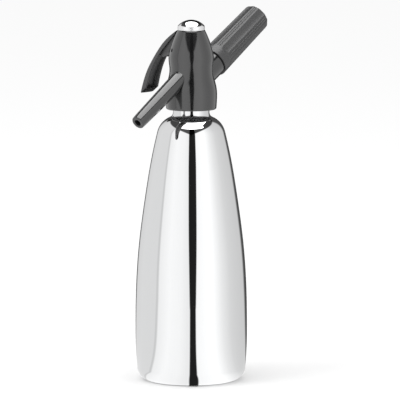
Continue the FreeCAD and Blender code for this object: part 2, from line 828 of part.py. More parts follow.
def charger_holder():
    """The holder's sleeve: smooth rim, long flutes for the fingers, closed far end."""
    liner_end = holder_start + liner_length
    inner_end = holder_end - holder_end_wall
    slope = (holder_end_radius - holder_rim_radius) / holder_length
    rounding_start = holder_end - holder_end_rounding
    rounding_radius = holder_end_radius - slope * holder_end_rounding
    edges = [
        line((liner_radius, holder_start), (holder_rim_radius - 0.5, holder_start)),
        line((holder_rim_radius - 0.5, holder_start), (holder_rim_radius, holder_start + 0.5)),
        line((holder_rim_radius, holder_start + 0.5), (rounding_radius, rounding_start)),
        arc((rounding_radius - holder_end_rounding, rounding_start), holder_end_rounding, 0, 90),
        line((rounding_radius - holder_end_rounding, holder_end), (0, holder_end)),
        line((0, holder_end), (0, inner_end)),
        line((0, inner_end), (charger_bore, inner_end)),
        line((charger_bore, inner_end), (charger_bore, liner_end)),
        line((charger_bore, liner_end), (liner_radius, liner_end)),
        line((liner_radius, liner_end), (liner_radius, holder_start)),
    ]
    shape = turned_edges(edges)
    lean = math.degrees(math.atan(-slope))
    first = holder_start + flute_start
    surface = holder_rim_radius + slope * flute_start
    centre = surface - flute_depth + flute_radius
    round_end = math.sqrt(flute_radius ** 2 - (flute_radius - flute_depth) ** 2)
    for number in range(flute_count):
        groove = Part.makeCylinder(flute_radius, holder_length, Vector(0, 0, 0))
        groove = groove.fuse(Part.makeSphere(flute_radius))
        groove.rotate(Vector(0, 0, 0), Y_AXIS, -lean)
        groove.translate(Vector(centre, 0, first + round_end))
        groove.rotate(Vector(0, 0, 0), Z_AXIS, flute_turn + 360 * number / flute_count)
        shape = shape.cut(groove)
    return on_holder_axis(shape)


def holder_liner():
    """The threaded metal insert in the holder's mouth."""
    low = holder_start + 0.3
    high = holder_start + liner_length
    bore = piercer_radius + thread_gap
    return on_holder_axis(turned([
        (bore + 0.6, low), (liner_radius, low), (liner_radius, high), (charger_bore, high),
        (charger_bore, high - liner_lip), (bore, high - liner_lip), (bore, low + 0.6),
    ]))


def end_pad():
    """The soft pad that presses on the charger's round end."""
    high = holder_end - holder_end_wall
    return on_holder_axis(ring(1.5, charger_bore - 0.3, high - pad_thickness, high))


PIECES = {
    "bottle": bottle,
    "neck_gasket": neck_gasket,
    "measuring_tube": measuring_tube,
    "tube_carrier": tube_carrier,
    "siphon_tube": siphon_tube,
    "siphon_seal": siphon_seal,
    "thread_collar": thread_collar,
    "collar_screws": collar_screws,
    "valve_core": valve_core,
    "valve_seat": valve_seat,
    "stem_guide": stem_guide,
    "stem_seal": stem_seal,
    "valve_stem": valve_stem,
    "valve_washer": valve_washer,
    "lift_nut": lift_nut,
    "stem_spring": stem_spring,
    "dome_cap": dome_cap,
    "head_cover": head_cover,
    "lever": lever,
    "lever_pin": lever_pin,
    "spout": spout,
    "spout_seal": spout_seal,
    "piercer_body": piercer_body,
    "piercing_pin": piercing_pin,
    "charger_seal": charger_seal,
    "rim_seal": rim_seal,
    "check_ball": check_ball,
    "co2_charger": co2_charger,
    "charger_holder": charger_holder,
    "holder_liner": holder_liner,
    "end_pad": end_pad,
}


def main():
    os.makedirs("parts", exist_ok=True)
    for name, make in PIECES.items():
        shape = make()
        if not shape.isValid():
            print("not valid:", name)
        print(name, len(shape.Solids), round(shape.Volume))
        shape.exportStep("parts/" + name + ".step")


main()
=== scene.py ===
import functools
import math

import bmesh
import bpy
import numpy as np
from bpy.props import FloatProperty, FloatVectorProperty, IntProperty, PointerProperty
from mathutils import Matrix, Vector


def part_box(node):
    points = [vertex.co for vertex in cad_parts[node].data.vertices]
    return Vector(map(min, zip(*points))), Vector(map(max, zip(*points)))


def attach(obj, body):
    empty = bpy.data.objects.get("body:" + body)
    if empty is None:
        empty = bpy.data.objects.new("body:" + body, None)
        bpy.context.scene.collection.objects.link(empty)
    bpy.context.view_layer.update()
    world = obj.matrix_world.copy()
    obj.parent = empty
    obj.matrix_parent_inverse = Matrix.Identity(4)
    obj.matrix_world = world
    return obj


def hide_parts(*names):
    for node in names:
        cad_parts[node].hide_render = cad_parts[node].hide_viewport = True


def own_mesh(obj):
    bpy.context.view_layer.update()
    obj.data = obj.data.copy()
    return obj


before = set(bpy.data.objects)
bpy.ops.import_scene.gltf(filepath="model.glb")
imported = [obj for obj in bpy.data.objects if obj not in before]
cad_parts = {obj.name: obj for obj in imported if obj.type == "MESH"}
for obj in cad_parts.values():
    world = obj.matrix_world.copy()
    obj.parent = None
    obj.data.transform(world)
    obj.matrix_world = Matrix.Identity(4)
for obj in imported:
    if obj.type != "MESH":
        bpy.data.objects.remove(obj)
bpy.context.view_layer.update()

bl_info = {
    "name": "Soda siphon",
    "version": (1, 0, 0),
    "blender": (4, 5, 0),
    "location": "View3D > Sidebar > Siphon",
    "description": "Dresses the soda siphon's packed frame and sets its studio",
    "category": "Object",
}

MM = 0.001
PRINCIPLED = "Principled BSDF"
NECK_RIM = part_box("bottle")[1].z
HEAD_LOW, HEAD_HIGH = (corner.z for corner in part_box("head_cover"))
PIVOT_X = sum(corner.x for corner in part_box("lever_pin")) / 2
PIVOT_Z = sum(corner.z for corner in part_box("lever_pin")) / 2


def length(name, millimetres, description):
    """A length property, given in millimetres and kept in metres."""
    return FloatProperty(
        name=name, description=description, default=millimetres * MM, unit="LENGTH", precision=5
    )


def colour(name, value, description):
    """A colour property with alpha."""
    return FloatVectorProperty(
        name=name, description=description, default=(*value, 1.0), size=4, subtype="COLOR", min=0, max=1
    )


class BottleSizes(bpy.types.PropertyGroup):
    """Sizes of the bottle and its neck."""
    wall: length("Wall", 1.2, "Thickness of the bottle's side")
    floor: length("Floor", 2.0, "Thickness of the bottle's bottom")
    foot_radius: length("Foot radius", 36.2, "Radius of the flat foot")
    foot_corner: length("Foot corner", 11.5, "Radius of the corner above the foot")
    shoulder_arc: length("Shoulder arc", 18.7, "Radius of the rounded shoulder")
    neck_radius: length("Neck radius", 16.0, "Outside radius of the neck")
    neck_fillet: length("Neck fillet", 4.5, "Radius of the hollow below the neck")
    neck_bore: length("Neck bore", 13.2, "Inside radius of the neck")
    thread_root: length("Thread root", 15.4, "Radius between the neck's threads")
    thread_pitch: length("Thread pitch", 3.0, "Rise of the neck thread in one turn")
    metal: colour("Metal", (0.78, 0.785, 0.79), "Colour of the polished aluminium")


class HeadSizes(bpy.types.PropertyGroup):
    """Sizes of the moulded head and its cap."""
    base_radius: length("Base radius", 22.2, "Radius of the head's lower edge")
    base_rounding: length("Base rounding", 1.6, "Rounding of the head's lower edge")
    top_radius: length("Top radius", 12.3, "Radius under the cap")
    slot_width: length("Slot width", 9.0, "Width of the slot for the lever's arm")
    boss_radius: length("Boss radius", 12.3, "Radius of the boss that carries the holder")
    boss_end: length("Boss end", 33.6, "Distance of the boss's end face along its axis")
    cap_radius: length("Cap radius", 11.9, "Radius of the chrome cap")
    cap_band: length("Cap band", 3.7, "Height of the cap's straight band")
    cap_height: length("Cap height", 9.2, "Height of the cap above the head")
    charcoal: colour("Charcoal", (0.008, 0.008, 0.0085), "Colour of the glossy moulding")
    chrome: colour("Chrome", (0.86, 0.86, 0.865), "Colour of the cap's plating")


class LeverSizes(bpy.types.PropertyGroup):
    """Sizes of the lever."""
    web: length("Web", 1.8, "Thickness of the lever's back")
    wall: length("Wall", 1.8, "Thickness of the lever's two sides")
    top_half: length("Top half width", 5.5, "Half the width at the top")
    tip_half: length("Tip half width", 8.7, "Half the width at the tip")
    edge: length("Edge", 1.5, "Rounding of the long outer edges")
    arm_half: length("Arm half width", 4.0, "Half the width of the arm in the slot")
    hub_radius: length("Hub radius", 3.6, "Radius of the hub on the pin")
    charcoal: colour("Charcoal", (0.055, 0.055, 0.056), "Colour of the lever")


class SpoutSizes(bpy.types.PropertyGroup):
    """Sizes of the spout, along its own axis from the bottle's axis."""
    slope: FloatProperty(
        name="Slope", description="Slope of the spout and the holder",
        default=math.radians(31.0), subtype="ANGLE",
    )
    axis_height: length("Axis height", 276.5, "Height where the spout's axis crosses the bottle's")
    reach: length("Reach", 84.0, "Distance of the tip along the axis")
    shoulder: length("Shoulder", 17.2, "Where the full section starts")
    spigot_start: length("Spigot start", 10.0, "Where the thin inner end starts")
    spigot_radius: length("Spigot radius", 5.0, "Radius of the thin inner end")
    root_radius: length("Root radius", 7.75, "Radius at the head")
    tip_radius: length("Tip radius", 6.1, "Radius at the tip")
    bore: length("Bore", 3.0, "Radius of the bore")
    charcoal: colour("Charcoal", (0.014, 0.014, 0.0145), "Colour of the spout")


class HolderSizes(bpy.types.PropertyGroup):
    """Sizes of the charger holder, along its own axis from the bottle's axis."""
    axis_height: length("Axis height", 261.0, "Height where the holder's axis crosses the bottle's")
    start: length("Start", 34.3, "Distance of the rim along the axis")
    reach: length("Reach", 71.0, "Length of the holder")
    rim_radius: length("Rim radius", 13.65, "Radius at the rim")
    end_radius: length("End radius", 12.4, "Radius at the closed end")
    end_rounding: length("End rounding", 1.4, "Rounding of the closed end")
    flutes: IntProperty(name="Flutes", description="Number of finger flutes", default=6, min=3)
    flute_turn: FloatProperty(
        name="Flute turn", description="Angle of the first flute round the axis",
        default=math.radians(24.0), subtype="ANGLE",
    )
    flute_radius: length("Flute radius", 16.0, "Radius of the hollow of a flute")
    flute_depth: length("Flute depth", 1.0, "Depth of a flute at its middle")
    groove_depth: length("Groove depth", 0.4, "Depth of the fine grooves on the ribs")
    flute_start: length("Flute start", 7.0, "Smooth length at the rim")
    thread_pitch: length("Thread pitch", 2.0, "Rise of the holder's thread in one turn")
    charcoal: colour("Charcoal", (0.042, 0.042, 0.043), "Colour of the satin sleeve")


class StudioSizes(bpy.types.PropertyGroup):
    """The studio: camera, floor and light."""
    distance: length("Camera distance", 4030.0, "Distance from the camera to the point it looks at")
    azimuth: FloatProperty(
        name="Camera azimuth", description="Angle of the camera round the bottle",
        default=math.radians(40.0), subtype="ANGLE",
    )
    elevation: FloatProperty(
        name="Camera elevation", description="Angle of the camera above the level",
        default=math.radians(7.0), subtype="ANGLE",
    )
    picture_width: length("Picture width", 352.0, "Width that the picture takes in at the bottle")
    aim_right: length("Aim to the right", 7.7, "How far right of the bottle's axis the camera looks")
    aim_height: length("Aim height", 159.3, "Height that the camera looks at")
    head_height: length("Head height", 270.0, "Height of the head, which the light is set for")
    paper: colour("Paper", (0.88, 0.88, 0.88), "Colour of the floor")


GROUPS = {
    "siphon_bottle": BottleSizes,
    "siphon_head": HeadSizes,
    "siphon_lever": LeverSizes,
    "siphon_spout": SpoutSizes,
    "siphon_holder": HolderSizes,
    "siphon_studio": StudioSizes,
}


# Outlines

def spline_through(points, steps, first_slope=None, last_slope=None):
    """A smooth curve through points, with even curvature, as steps points for each span."""
    points = np.array(points, float)
    chords = np.linalg.norm(np.diff(points, axis=0), axis=1)
    count = len(points)
    matrix = np.zeros((count, count))
    right = np.zeros((count, 2))
    for i in range(1, count - 1):
        low, high = chords[i - 1], chords[i]
        matrix[i, i - 1:i + 2] = high, 2 * (low + high), low
        right[i] = 3 * (high * (points[i] - points[i - 1]) / low + low * (points[i + 1] - points[i]) / high)
    for row, beside, chord, slope in ((0, 1, chords[0], first_slope), (-1, -2, chords[-1], last_slope)):
        if slope is None:
            matrix[row, row], matrix[row, beside] = 2, 1
            right[row] = 3 * (points[beside] - points[row]) / chord * (1 if row == 0 else -1)
        else:
            matrix[row, row] = 1
            right[row] = np.array(slope) / np.linalg.norm(slope)
    tangents = np.linalg.solve(matrix, right)
    out = [points[0]]
    for i, chord in enumerate(chords):
        for step in range(1, steps + 1):
            t = step / steps
            out.append(
                points[i] * (1 + 2 * t) * (1 - t) ** 2 + points[i + 1] * t * t * (3 - 2 * t)
                + chord * (tangents[i] * t * (1 - t) ** 2 - tangents[i + 1] * t * t * (1 - t))
            )
    return [tuple(point) for point in out]


def arc_points(centre, radius, start, end, steps=10):
    """Points on an arc, its angles in degrees up from the radius direction."""
    out = []
    for step in range(steps + 1):
        turn = math.radians(start + (end - start) * step / steps)
        out.append((centre[0] + radius * math.cos(turn), centre[1] + radius * math.sin(turn)))
    return out


def soft_corners(corners, rounding, steps=4):
    """A closed outline of straight runs with each corner rounded, where its runs allow."""
    out = []
    count = len(corners)
    for i, corner in enumerate(corners):
        here = Vector(corner)
        before = Vector(corners[i - 1]) - here
        after = Vector(corners[(i + 1) % count]) - here
        reach = min(rounding, before.length * 0.45, after.length * 0.45)
        if corner[0] <= 1e-9:
            out.append(tuple(here))
            continue
        start = here + before.normalized() * reach
        end = here + after.normalized() * reach
        for step in range(steps + 1):
            t = step / steps
            out.append(tuple(start * (1 - t) ** 2 + here * 2 * t * (1 - t) + end * t * t))
    return out


# Meshes

def new_object(name, data):
    """An object for a mesh, a camera or a lamp, linked to the scene."""
    obj = bpy.data.objects.new(name, data)
    bpy.context.scene.collection.objects.link(obj)
    return obj


def plain_object(name, bm):
    """An object from a bmesh as it stands."""
    mesh = bpy.data.meshes.new(name)
    bm.to_mesh(mesh)
    bm.free()
    return new_object(name, mesh)


def from_bmesh(name, bm):
    """An object from a bmesh, with its doubles merged and its faces pointing outwards."""
    bmesh.ops.remove_doubles(bm, verts=bm.verts, dist=1e-6)
    bmesh.ops.recalc_face_normals(bm, faces=bm.faces)
    return plain_object(name, bm)


def smooth(obj, angle=32.0):
    """Smooth shading, with edges kept sharp past an angle in degrees."""
    obj.data.shade_smooth()
    obj.data.set_sharp_from_angle(angle=math.radians(angle))
    return obj


def join_rings(bm, rings):
    """Faces between each ring and the next, the last one joined to the first."""
    count = max(len(ring) for ring in rings)
    for ring, after in zip(rings, rings[1:] + rings[:1]):
        if len(ring) == 1 and len(after) == 1:
            continue
        for k in range(count):
            j = (k + 1) % count
            if len(ring) == 1:
                corners = [ring[0], after[k], after[j]]
            elif len(after) == 1:
                corners = [ring[k], after[0], ring[j]]
            else:
                corners = [ring[k], after[k], after[j], ring[j]]
            bm.faces.new(corners)


def turned(name, outline, segments=128, place=None):
    """A closed mesh turned round Z from a closed outline of (radius, height) points."""
    bm = bmesh.new()
    rings = []
    for radius, height in outline:
        if radius < 1e-7:
            rings.append([bm.verts.new((0, 0, height))])
            continue
        rings.append([
            bm.verts.new((radius * math.cos(turn), radius * math.sin(turn), height))
            for turn in (2 * math.pi * k / segments for k in range(segments))
        ])
    join_rings(bm, rings)
    if place is not None:
        bm.transform(place)
    return from_bmesh(name, bm)


def cylinder(name, radius, low, high, segments=96, place=None):
    """A closed cylinder between two distances along its axis."""
    return turned(name, [(0, low), (radius, low), (radius, high), (0, high)], segments, place)


def on_pin(aside=0.0):
    """The placing of a shape made round Z on the lever pin's axis, or aside from it."""
    return Matrix.Translation((PIVOT_X + aside, 0, PIVOT_Z)) @ Matrix.Rotation(math.pi / 2, 4, "X")


def slanted(height, slope, outward):
    """The placing of a shape made round Z on a slanted axis through the bottle's axis."""
    turn = slope - math.pi / 2 if outward > 0 else slope + math.pi / 2
    return Matrix.Translation((0, 0, height)) @ Matrix.Rotation(turn, 4, "X")


def holder_place():
    """The placing of the holder's axis, which climbs towards +Y."""
    return slanted(bpy.context.scene.siphon_holder.axis_height, bpy.context.scene.siphon_spout.slope, 1)


def spout_place():
    """The placing of the spout's axis, which falls towards -Y."""
    return slanted(bpy.context.scene.siphon_spout.axis_height, bpy.context.scene.siphon_spout.slope, -1)


def box_mesh(name, low, high):
    """A box between two corners, for cutting."""
    bm = bmesh.new()
    bmesh.ops.create_cube(bm, size=1)
    middle = [(a + b) / 2 for a, b in zip(low, high)]
    sides = [b - a for a, b in zip(low, high)]
    bm.transform(Matrix.Translation(middle) @ Matrix.Diagonal((*sides, 1)))
    return from_bmesh(name, bm)


def bake(obj):
    """Turns an object's modifiers into its plain mesh."""
    bpy.context.view_layer.update()
    graph = bpy.context.evaluated_depsgraph_get()
    mesh = bpy.data.meshes.new_from_object(obj.evaluated_get(graph))
    obj.modifiers.clear()
    old = obj.data
    obj.data = mesh
    mesh.name = obj.name
    bpy.data.meshes.remove(old)
    return obj


def combine(obj, other, operation):
    """Joins another closed mesh to obj or cuts it away, and removes the other."""
    modifier = obj.modifiers.new("shape", "BOOLEAN")
    modifier.operation = operation
    modifier.solver = "EXACT"
    modifier.object = other
    bake(obj)
    bpy.data.objects.remove(other)
    return obj


def dress(obj, material, body, slot, *nodes):
    """Gives a piece its material and the body it rides on, and hides the nodes it stands for; slot is not
    used.
    """
    obj.data.materials.clear()
    obj.data.materials.append(material)
    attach(obj, body)
    if nodes:
        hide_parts(*nodes)
    return obj


# Nodes

def add(tree, kind, **settings):
    """A new node in a tree, with its properties set."""
    node = tree.nodes.new(kind)
    for key, value in settings.items():
        setattr(node, key, value)
    return node


def feed(tree, node, values):
    """Sets or links a node's inputs, by their names or numbers."""
    for key, value in values.items():
        if isinstance(value, bpy.types.NodeSocket):
            tree.links.new(value, node.inputs[key])
        else:
            node.inputs[key].default_value = value
    return node


def math_node(tree, operation, first, second=0.0):
    """The result of a Math node fed by two sockets or numbers."""
    return feed(tree, add(tree, "ShaderNodeMath", operation=operation), {0: first, 1: second}).outputs[0]


def object_place(tree):
    """The place in the object's own axes, which are the scene's."""
    return add(tree, "ShaderNodeTexCoord").outputs["Object"]


def noise(tree, place, scale, **values):
    """The value of a noise texture at a place."""
    node = add(tree, "ShaderNodeTexNoise")
    return feed(tree, node, {"Vector": place, "Scale": scale, **values}).outputs["Fac"]


def squeezed(tree, place, upright):
    """A place with its height scaled, so that marks in it run upright."""
    node = add(tree, "ShaderNodeMapping")
    return feed(tree, node, {"Vector": place, "Scale": (1, 1, upright)}).outputs["Vector"]


def mapped(tree, value, low, high, least=0.0, most=1.0):
    """A value carried from one range to another and kept inside it."""
    values = {"Value": value, "From Min": low, "From Max": high, "To Min": least, "To Max": most}
    return feed(tree, add(tree, "ShaderNodeMapRange"), values).outputs["Result"]


def blend(tree, factor, first, second):
    """A colour between two others."""
    node = add(tree, "ShaderNodeMix", data_type="RGBA")
    return feed(tree, node, {"Factor": factor, "A": first, "B": second}).outputs["Result"]


def new_material(name):
    """A material with nodes, and its tree."""
    material = bpy.data.materials.new(name)
    material.use_nodes = True
    return material, material.node_tree


# Shader groups

def group_tree(name, inputs, *outputs):
    """A shader group of numbers: its tree, its input sockets and its end node."""
    tree = bpy.data.node_groups.new(name, "ShaderNodeTree")
    for label, default in inputs.items():
        socket = tree.interface.new_socket(name=label, in_out="INPUT", socket_type="NodeSocketFloat")
        socket.default_value = default
    for label in outputs:
        tree.interface.new_socket(name=label, in_out="OUTPUT", socket_type="NodeSocketFloat")
    return tree, add(tree, "NodeGroupInput").outputs, add(tree, "NodeGroupOutput")


@functools.cache
def handling_marks():
    """Faint smears and hairlines: a mask, and a roughness that varies round a base value."""
    tree, given, result = group_tree(
        "handling_marks",
        {"Smear Scale": 60.0, "Hairline Scale": 900.0, "Roughness": 0.1, "Variation": 0.05},
        "Roughness", "Mask",
    )
    place = object_place(tree)
    smear = noise(tree, place, given["Smear Scale"], Detail=4, Roughness=0.6)
    hair = noise(tree, squeezed(tree, place, 0.06), given["Hairline Scale"], Detail=2)
    both = math_node(tree, "MULTIPLY", smear, hair)
    spread = math_node(tree, "MULTIPLY", math_node(tree, "SUBTRACT", both, 0.25), given["Variation"])
    rough = math_node(tree, "ADD", given["Roughness"], math_node(tree, "MULTIPLY", spread, 4.0))
    feed(tree, result, {"Roughness": math_node(tree, "MAXIMUM", rough, 0.005), "Mask": both})
    return tree


@functools.cache
def moulded_grain():
    """The fine spark-eroded grain of moulded plastic, with slow waves under it, as a height."""
    tree, given, result = group_tree(
        "moulded_grain", {"Grain Scale": 2600.0, "Grain": 1.0, "Wave Scale": 70.0, "Wave": 0.4}, "Height"
    )
    place = object_place(tree)
    grain = math_node(tree, "MULTIPLY", noise(tree, place, given["Grain Scale"], Detail=3), given["Grain"])
    wave = math_node(tree, "MULTIPLY", noise(tree, place, given["Wave Scale"], Detail=1), given["Wave"])
    feed(tree, result, {"Height": math_node(tree, "ADD", grain, wave)})
    return tree


@functools.cache
def edge_wear():
    """A mask that is strong on sharp outer edges, broken up by noise: edges lightened partly as wear and
    partly as painted highlight.
    """
    tree, given, result = group_tree("edge_wear", {"Amount": 0.5, "Break Scale": 300.0}, "Mask")
    sharp = mapped(tree, add(tree, "ShaderNodeNewGeometry").outputs["Pointiness"], 0.53, 0.62)
    broken = math_node(tree, "MULTIPLY", sharp, noise(tree, object_place(tree), given["Break Scale"]))
    feed(tree, result, {"Mask": math_node(tree, "MULTIPLY", broken, given["Amount"])})
    return tree


@functools.cache
def satin_band():
    """A mask for the part below a height, with short upright marks in it."""
    tree, given, result = group_tree("satin_band", {"Top": 0.3, "Marks": 2200.0}, "Mask")
    place = object_place(tree)
    parts = feed(tree, add(tree, "ShaderNodeSeparateXYZ"), {"Vector": place})
    below = math_node(tree, "LESS_THAN", parts.outputs["Z"], given["Top"])
    marks = noise(tree, squeezed(tree, place, 0.1), given["Marks"])
    broken = math_node(tree, "ADD", math_node(tree, "MULTIPLY", marks, 0.8), 0.6)
    feed(tree, result, {"Mask": math_node(tree, "MULTIPLY", below, broken)})
    return tree


def use_group(tree, group, **values):
    """The outputs of a shader group placed in a material, with this material's own values."""
    node = add(tree, "ShaderNodeGroup", node_tree=group())
    return feed(tree, node, {key.replace("_", " "): value for key, value in values.items()}).outputs


# Finishes

BAND_ROUGHNESS = 0.32


def finish_of(name, base, metallic=0.0, roughness=0.3, variation=0.05, grain=0.0, grain_scale=2600.0,
              wave=0.0, wave_scale=70.0, depth=0.00002, wear=0.0, worn=None, mottle=0.06, banded=False,
              **plain):
    """A finish: base colour with mottling and edges lightened partly as wear and partly as painted highlight,
    varied roughness, and grain as bump.
    """
    material, tree = new_material(name)
    shader = tree.nodes[PRINCIPLED]
    marks = use_group(tree, handling_marks, Roughness=roughness, Variation=variation)
    rough = marks["Roughness"]
    if banded:
        top = HEAD_HIGH + bpy.context.scene.siphon_head.cap_band
        band = use_group(tree, satin_band, Top=top)["Mask"]
        rough = math_node(tree, "ADD", rough, math_node(tree, "MULTIPLY", band, BAND_ROUGHNESS))
    mottled = (*(channel * (1 - mottle * 4) for channel in base[:3]), 1)
    paint = blend(tree, marks["Mask"], tuple(base), mottled)
    # Sharp edges take a lighter colour: partly wear, partly a painted highlight like the light that edges
    # catch.
    if wear:
        worn = worn or (*(min(1.0, channel * 3 + 0.02) for channel in base[:3]), 1)
        paint = blend(tree, use_group(tree, edge_wear, Amount=wear)["Mask"], paint, worn)
    feed(tree, shader, {"Base Color": paint, "Metallic": metallic, "Roughness": rough})
    feed(tree, shader, {key.replace("_", " "): value for key, value in plain.items()})
    if grain or wave:
        height = use_group(
            tree, moulded_grain, Grain=grain, Grain_Scale=grain_scale, Wave=wave, Wave_Scale=wave_scale
        )["Height"]
        bump = feed(tree, add(tree, "ShaderNodeBump"), {"Distance": depth, "Strength": 1.0, "Height": height})
        feed(tree, shader, {"Normal": bump.outputs["Normal"]})
    return material


# Each finish: its colour, or the group and the property that hold it, and its settings
FINISHES = {
    "polished_aluminium": (("siphon_bottle", "metal"), dict(
        metallic=1.0, roughness=0.03, variation=0.012, mottle=0.01, wave=1.0, wave_scale=9.0, depth=0.00004,
    )),
    "chrome_cap": (("siphon_head", "chrome"), dict(
        metallic=1.0, roughness=0.045, variation=0.02, mottle=0.01, wear=0.2, worn=(0.98, 0.98, 0.98, 1),
        banded=True,
    )),
    "charcoal_gloss": (("siphon_head", "charcoal"), dict(
        roughness=0.13, variation=0.03, wear=0.2, IOR=1.7, wave=1.0, wave_scale=45.0, grain=0.03,
        Coat_Weight=0.6, Coat_Roughness=0.06,
    )),
    "charcoal_spout": (("siphon_spout", "charcoal"), dict(
        roughness=0.15, variation=0.03, wear=0.2, IOR=1.7, wave=1.0, wave_scale=60.0, grain=0.04,
        Coat_Weight=0.4, Coat_Roughness=0.1,
    )),
    "charcoal_lever": (("siphon_lever", "charcoal"), dict(
        roughness=0.36, variation=0.06, wear=0.3, wave=1.0, wave_scale=60.0, grain=0.12, depth=0.00003,
    )),
    # The holder's lighter rib edges stand partly for wear and partly for a painted highlight of the bright
    # lines on its ribs.
    "charcoal_satin": (("siphon_holder", "charcoal"), dict(
        roughness=0.4, variation=0.05, wear=0.3, worn=(0.16, 0.16, 0.165, 1), grain=1.0, grain_scale=2400.0,
        wave=0.2, depth=0.000018, IOR=1.6,
    )),
    "nickel_brass": ((0.66, 0.63, 0.56, 1), dict(
        metallic=1.0, roughness=0.22, variation=0.08, wear=0.5, worn=(0.78, 0.62, 0.32, 1), grain=0.5,
        grain_scale=900.0,
    )),
    "bright_steel": ((0.70, 0.70, 0.71, 1), dict(
        metallic=1.0, roughness=0.2, variation=0.1, grain=0.4, grain_scale=1500.0, depth=0.00001,
    )),
    "dark_steel": ((0.03, 0.03, 0.032, 1), dict(
        metallic=0.6, roughness=0.35, variation=0.1, grain=0.6, grain_scale=1500.0, depth=0.00001,
    )),
    "charger_steel": ((0.60, 0.61, 0.63, 1), dict(
        metallic=1.0, roughness=0.32, variation=0.14, mottle=0.08, grain=0.5, grain_scale=700.0,
    )),
    "white_tube_plastic": ((0.80, 0.81, 0.80, 1), dict(
        roughness=0.3, variation=0.08, mottle=0.02, grain=0.2, Subsurface_Weight=0.2, Subsurface_Scale=0.002,
    )),
    "silicone_seal": ((0.68, 0.68, 0.66, 1), dict(
        roughness=0.55, variation=0.08, mottle=0.03, grain=0.6, grain_scale=1200.0, depth=0.00003,
    )),
    "black_seal": ((0.010, 0.010, 0.010, 1), dict(
        roughness=0.5, variation=0.1, grain=0.8, grain_scale=1400.0, depth=0.00003,
    )),
}


@functools.cache
def finish(name):
    """The named finish, made once."""
    base, values = FINISHES[name]
    if isinstance(base[0], str):
        group, key = base
        base = getattr(getattr(bpy.context.scene, group), key)
    return finish_of(name, base, **values)


# Wound wire

@functools.cache
def coil_tree():
    """A geometry tree for a round wire wound on a helix: a spring, or the ridge of a thread."""
    tree = bpy.data.node_groups.new("wound_wire", "GeometryNodeTree")
    keys = {}
    for label, kind in (("Turns", "Float"), ("Radius", "Float"), ("Height", "Float"), ("Wire", "Float"),
                        ("Low", "Float"), ("Steps", "Int"), ("Material", "Material")):
        socket = tree.interface.new_socket(name=label, in_out="INPUT", socket_type="NodeSocket" + kind)
        keys[label] = socket.identifier
    tree.interface.new_socket(name="Geometry", in_out="OUTPUT", socket_type="NodeSocketGeometry")
    given = add(tree, "NodeGroupInput").outputs
    spiral = feed(tree, add(tree, "GeometryNodeCurveSpiral"), {
        "Rotations": given["Turns"], "Start Radius": given["Radius"], "End Radius": given["Radius"],
        "Height": given["Height"], "Resolution": given["Steps"], "Reverse": True,
    })
    section = feed(
        tree, add(tree, "GeometryNodeCurvePrimitiveCircle"), {"Resolution": 10, "Radius": given["Wire"]}
    )
    sweep = feed(tree, add(tree, "GeometryNodeCurveToMesh"), {
        "Fill Caps": True, "Curve": spiral.outputs["Curve"], "Profile Curve": section.outputs["Curve"],
    })
    lift = feed(tree, add(tree, "ShaderNodeCombineXYZ"), {"Z": given["Low"]})
    place = feed(tree, add(tree, "GeometryNodeTransform"), {
        "Geometry": sweep.outputs["Mesh"], "Translation": lift.outputs["Vector"],
    })
    shade = feed(tree, add(tree, "GeometryNodeSetShadeSmooth"), {"Geometry": place.outputs["Geometry"]})
    paint = feed(tree, add(tree, "GeometryNodeSetMaterial"), {
        "Geometry": shade.outputs["Geometry"], "Material": given["Material"],
    })
    feed(tree, add(tree, "NodeGroupOutput"), {"Geometry": paint.outputs["Geometry"]})
    return tree, keys


STEPS_PER_TURN = 40


def wound(name, material, turns, radius, height, wire, low, place=None):
    """A helix of wire as a plain mesh."""
    tree, keys = coil_tree()
    obj = new_object(name, bpy.data.meshes.new(name + "_seed"))
    modifier = obj.modifiers.new("nodes", "NODES")
    modifier.node_group = tree
    for label, value in (("Turns", turns), ("Radius", radius), ("Height", height), ("Wire", wire),
                         ("Low", low), ("Steps", int(turns * STEPS_PER_TURN)), ("Material", material)):
        modifier[keys[label]] = value
    obj.update_tag()
    bake(obj)
    if place is not None:
        obj.data.transform(place)
    return obj


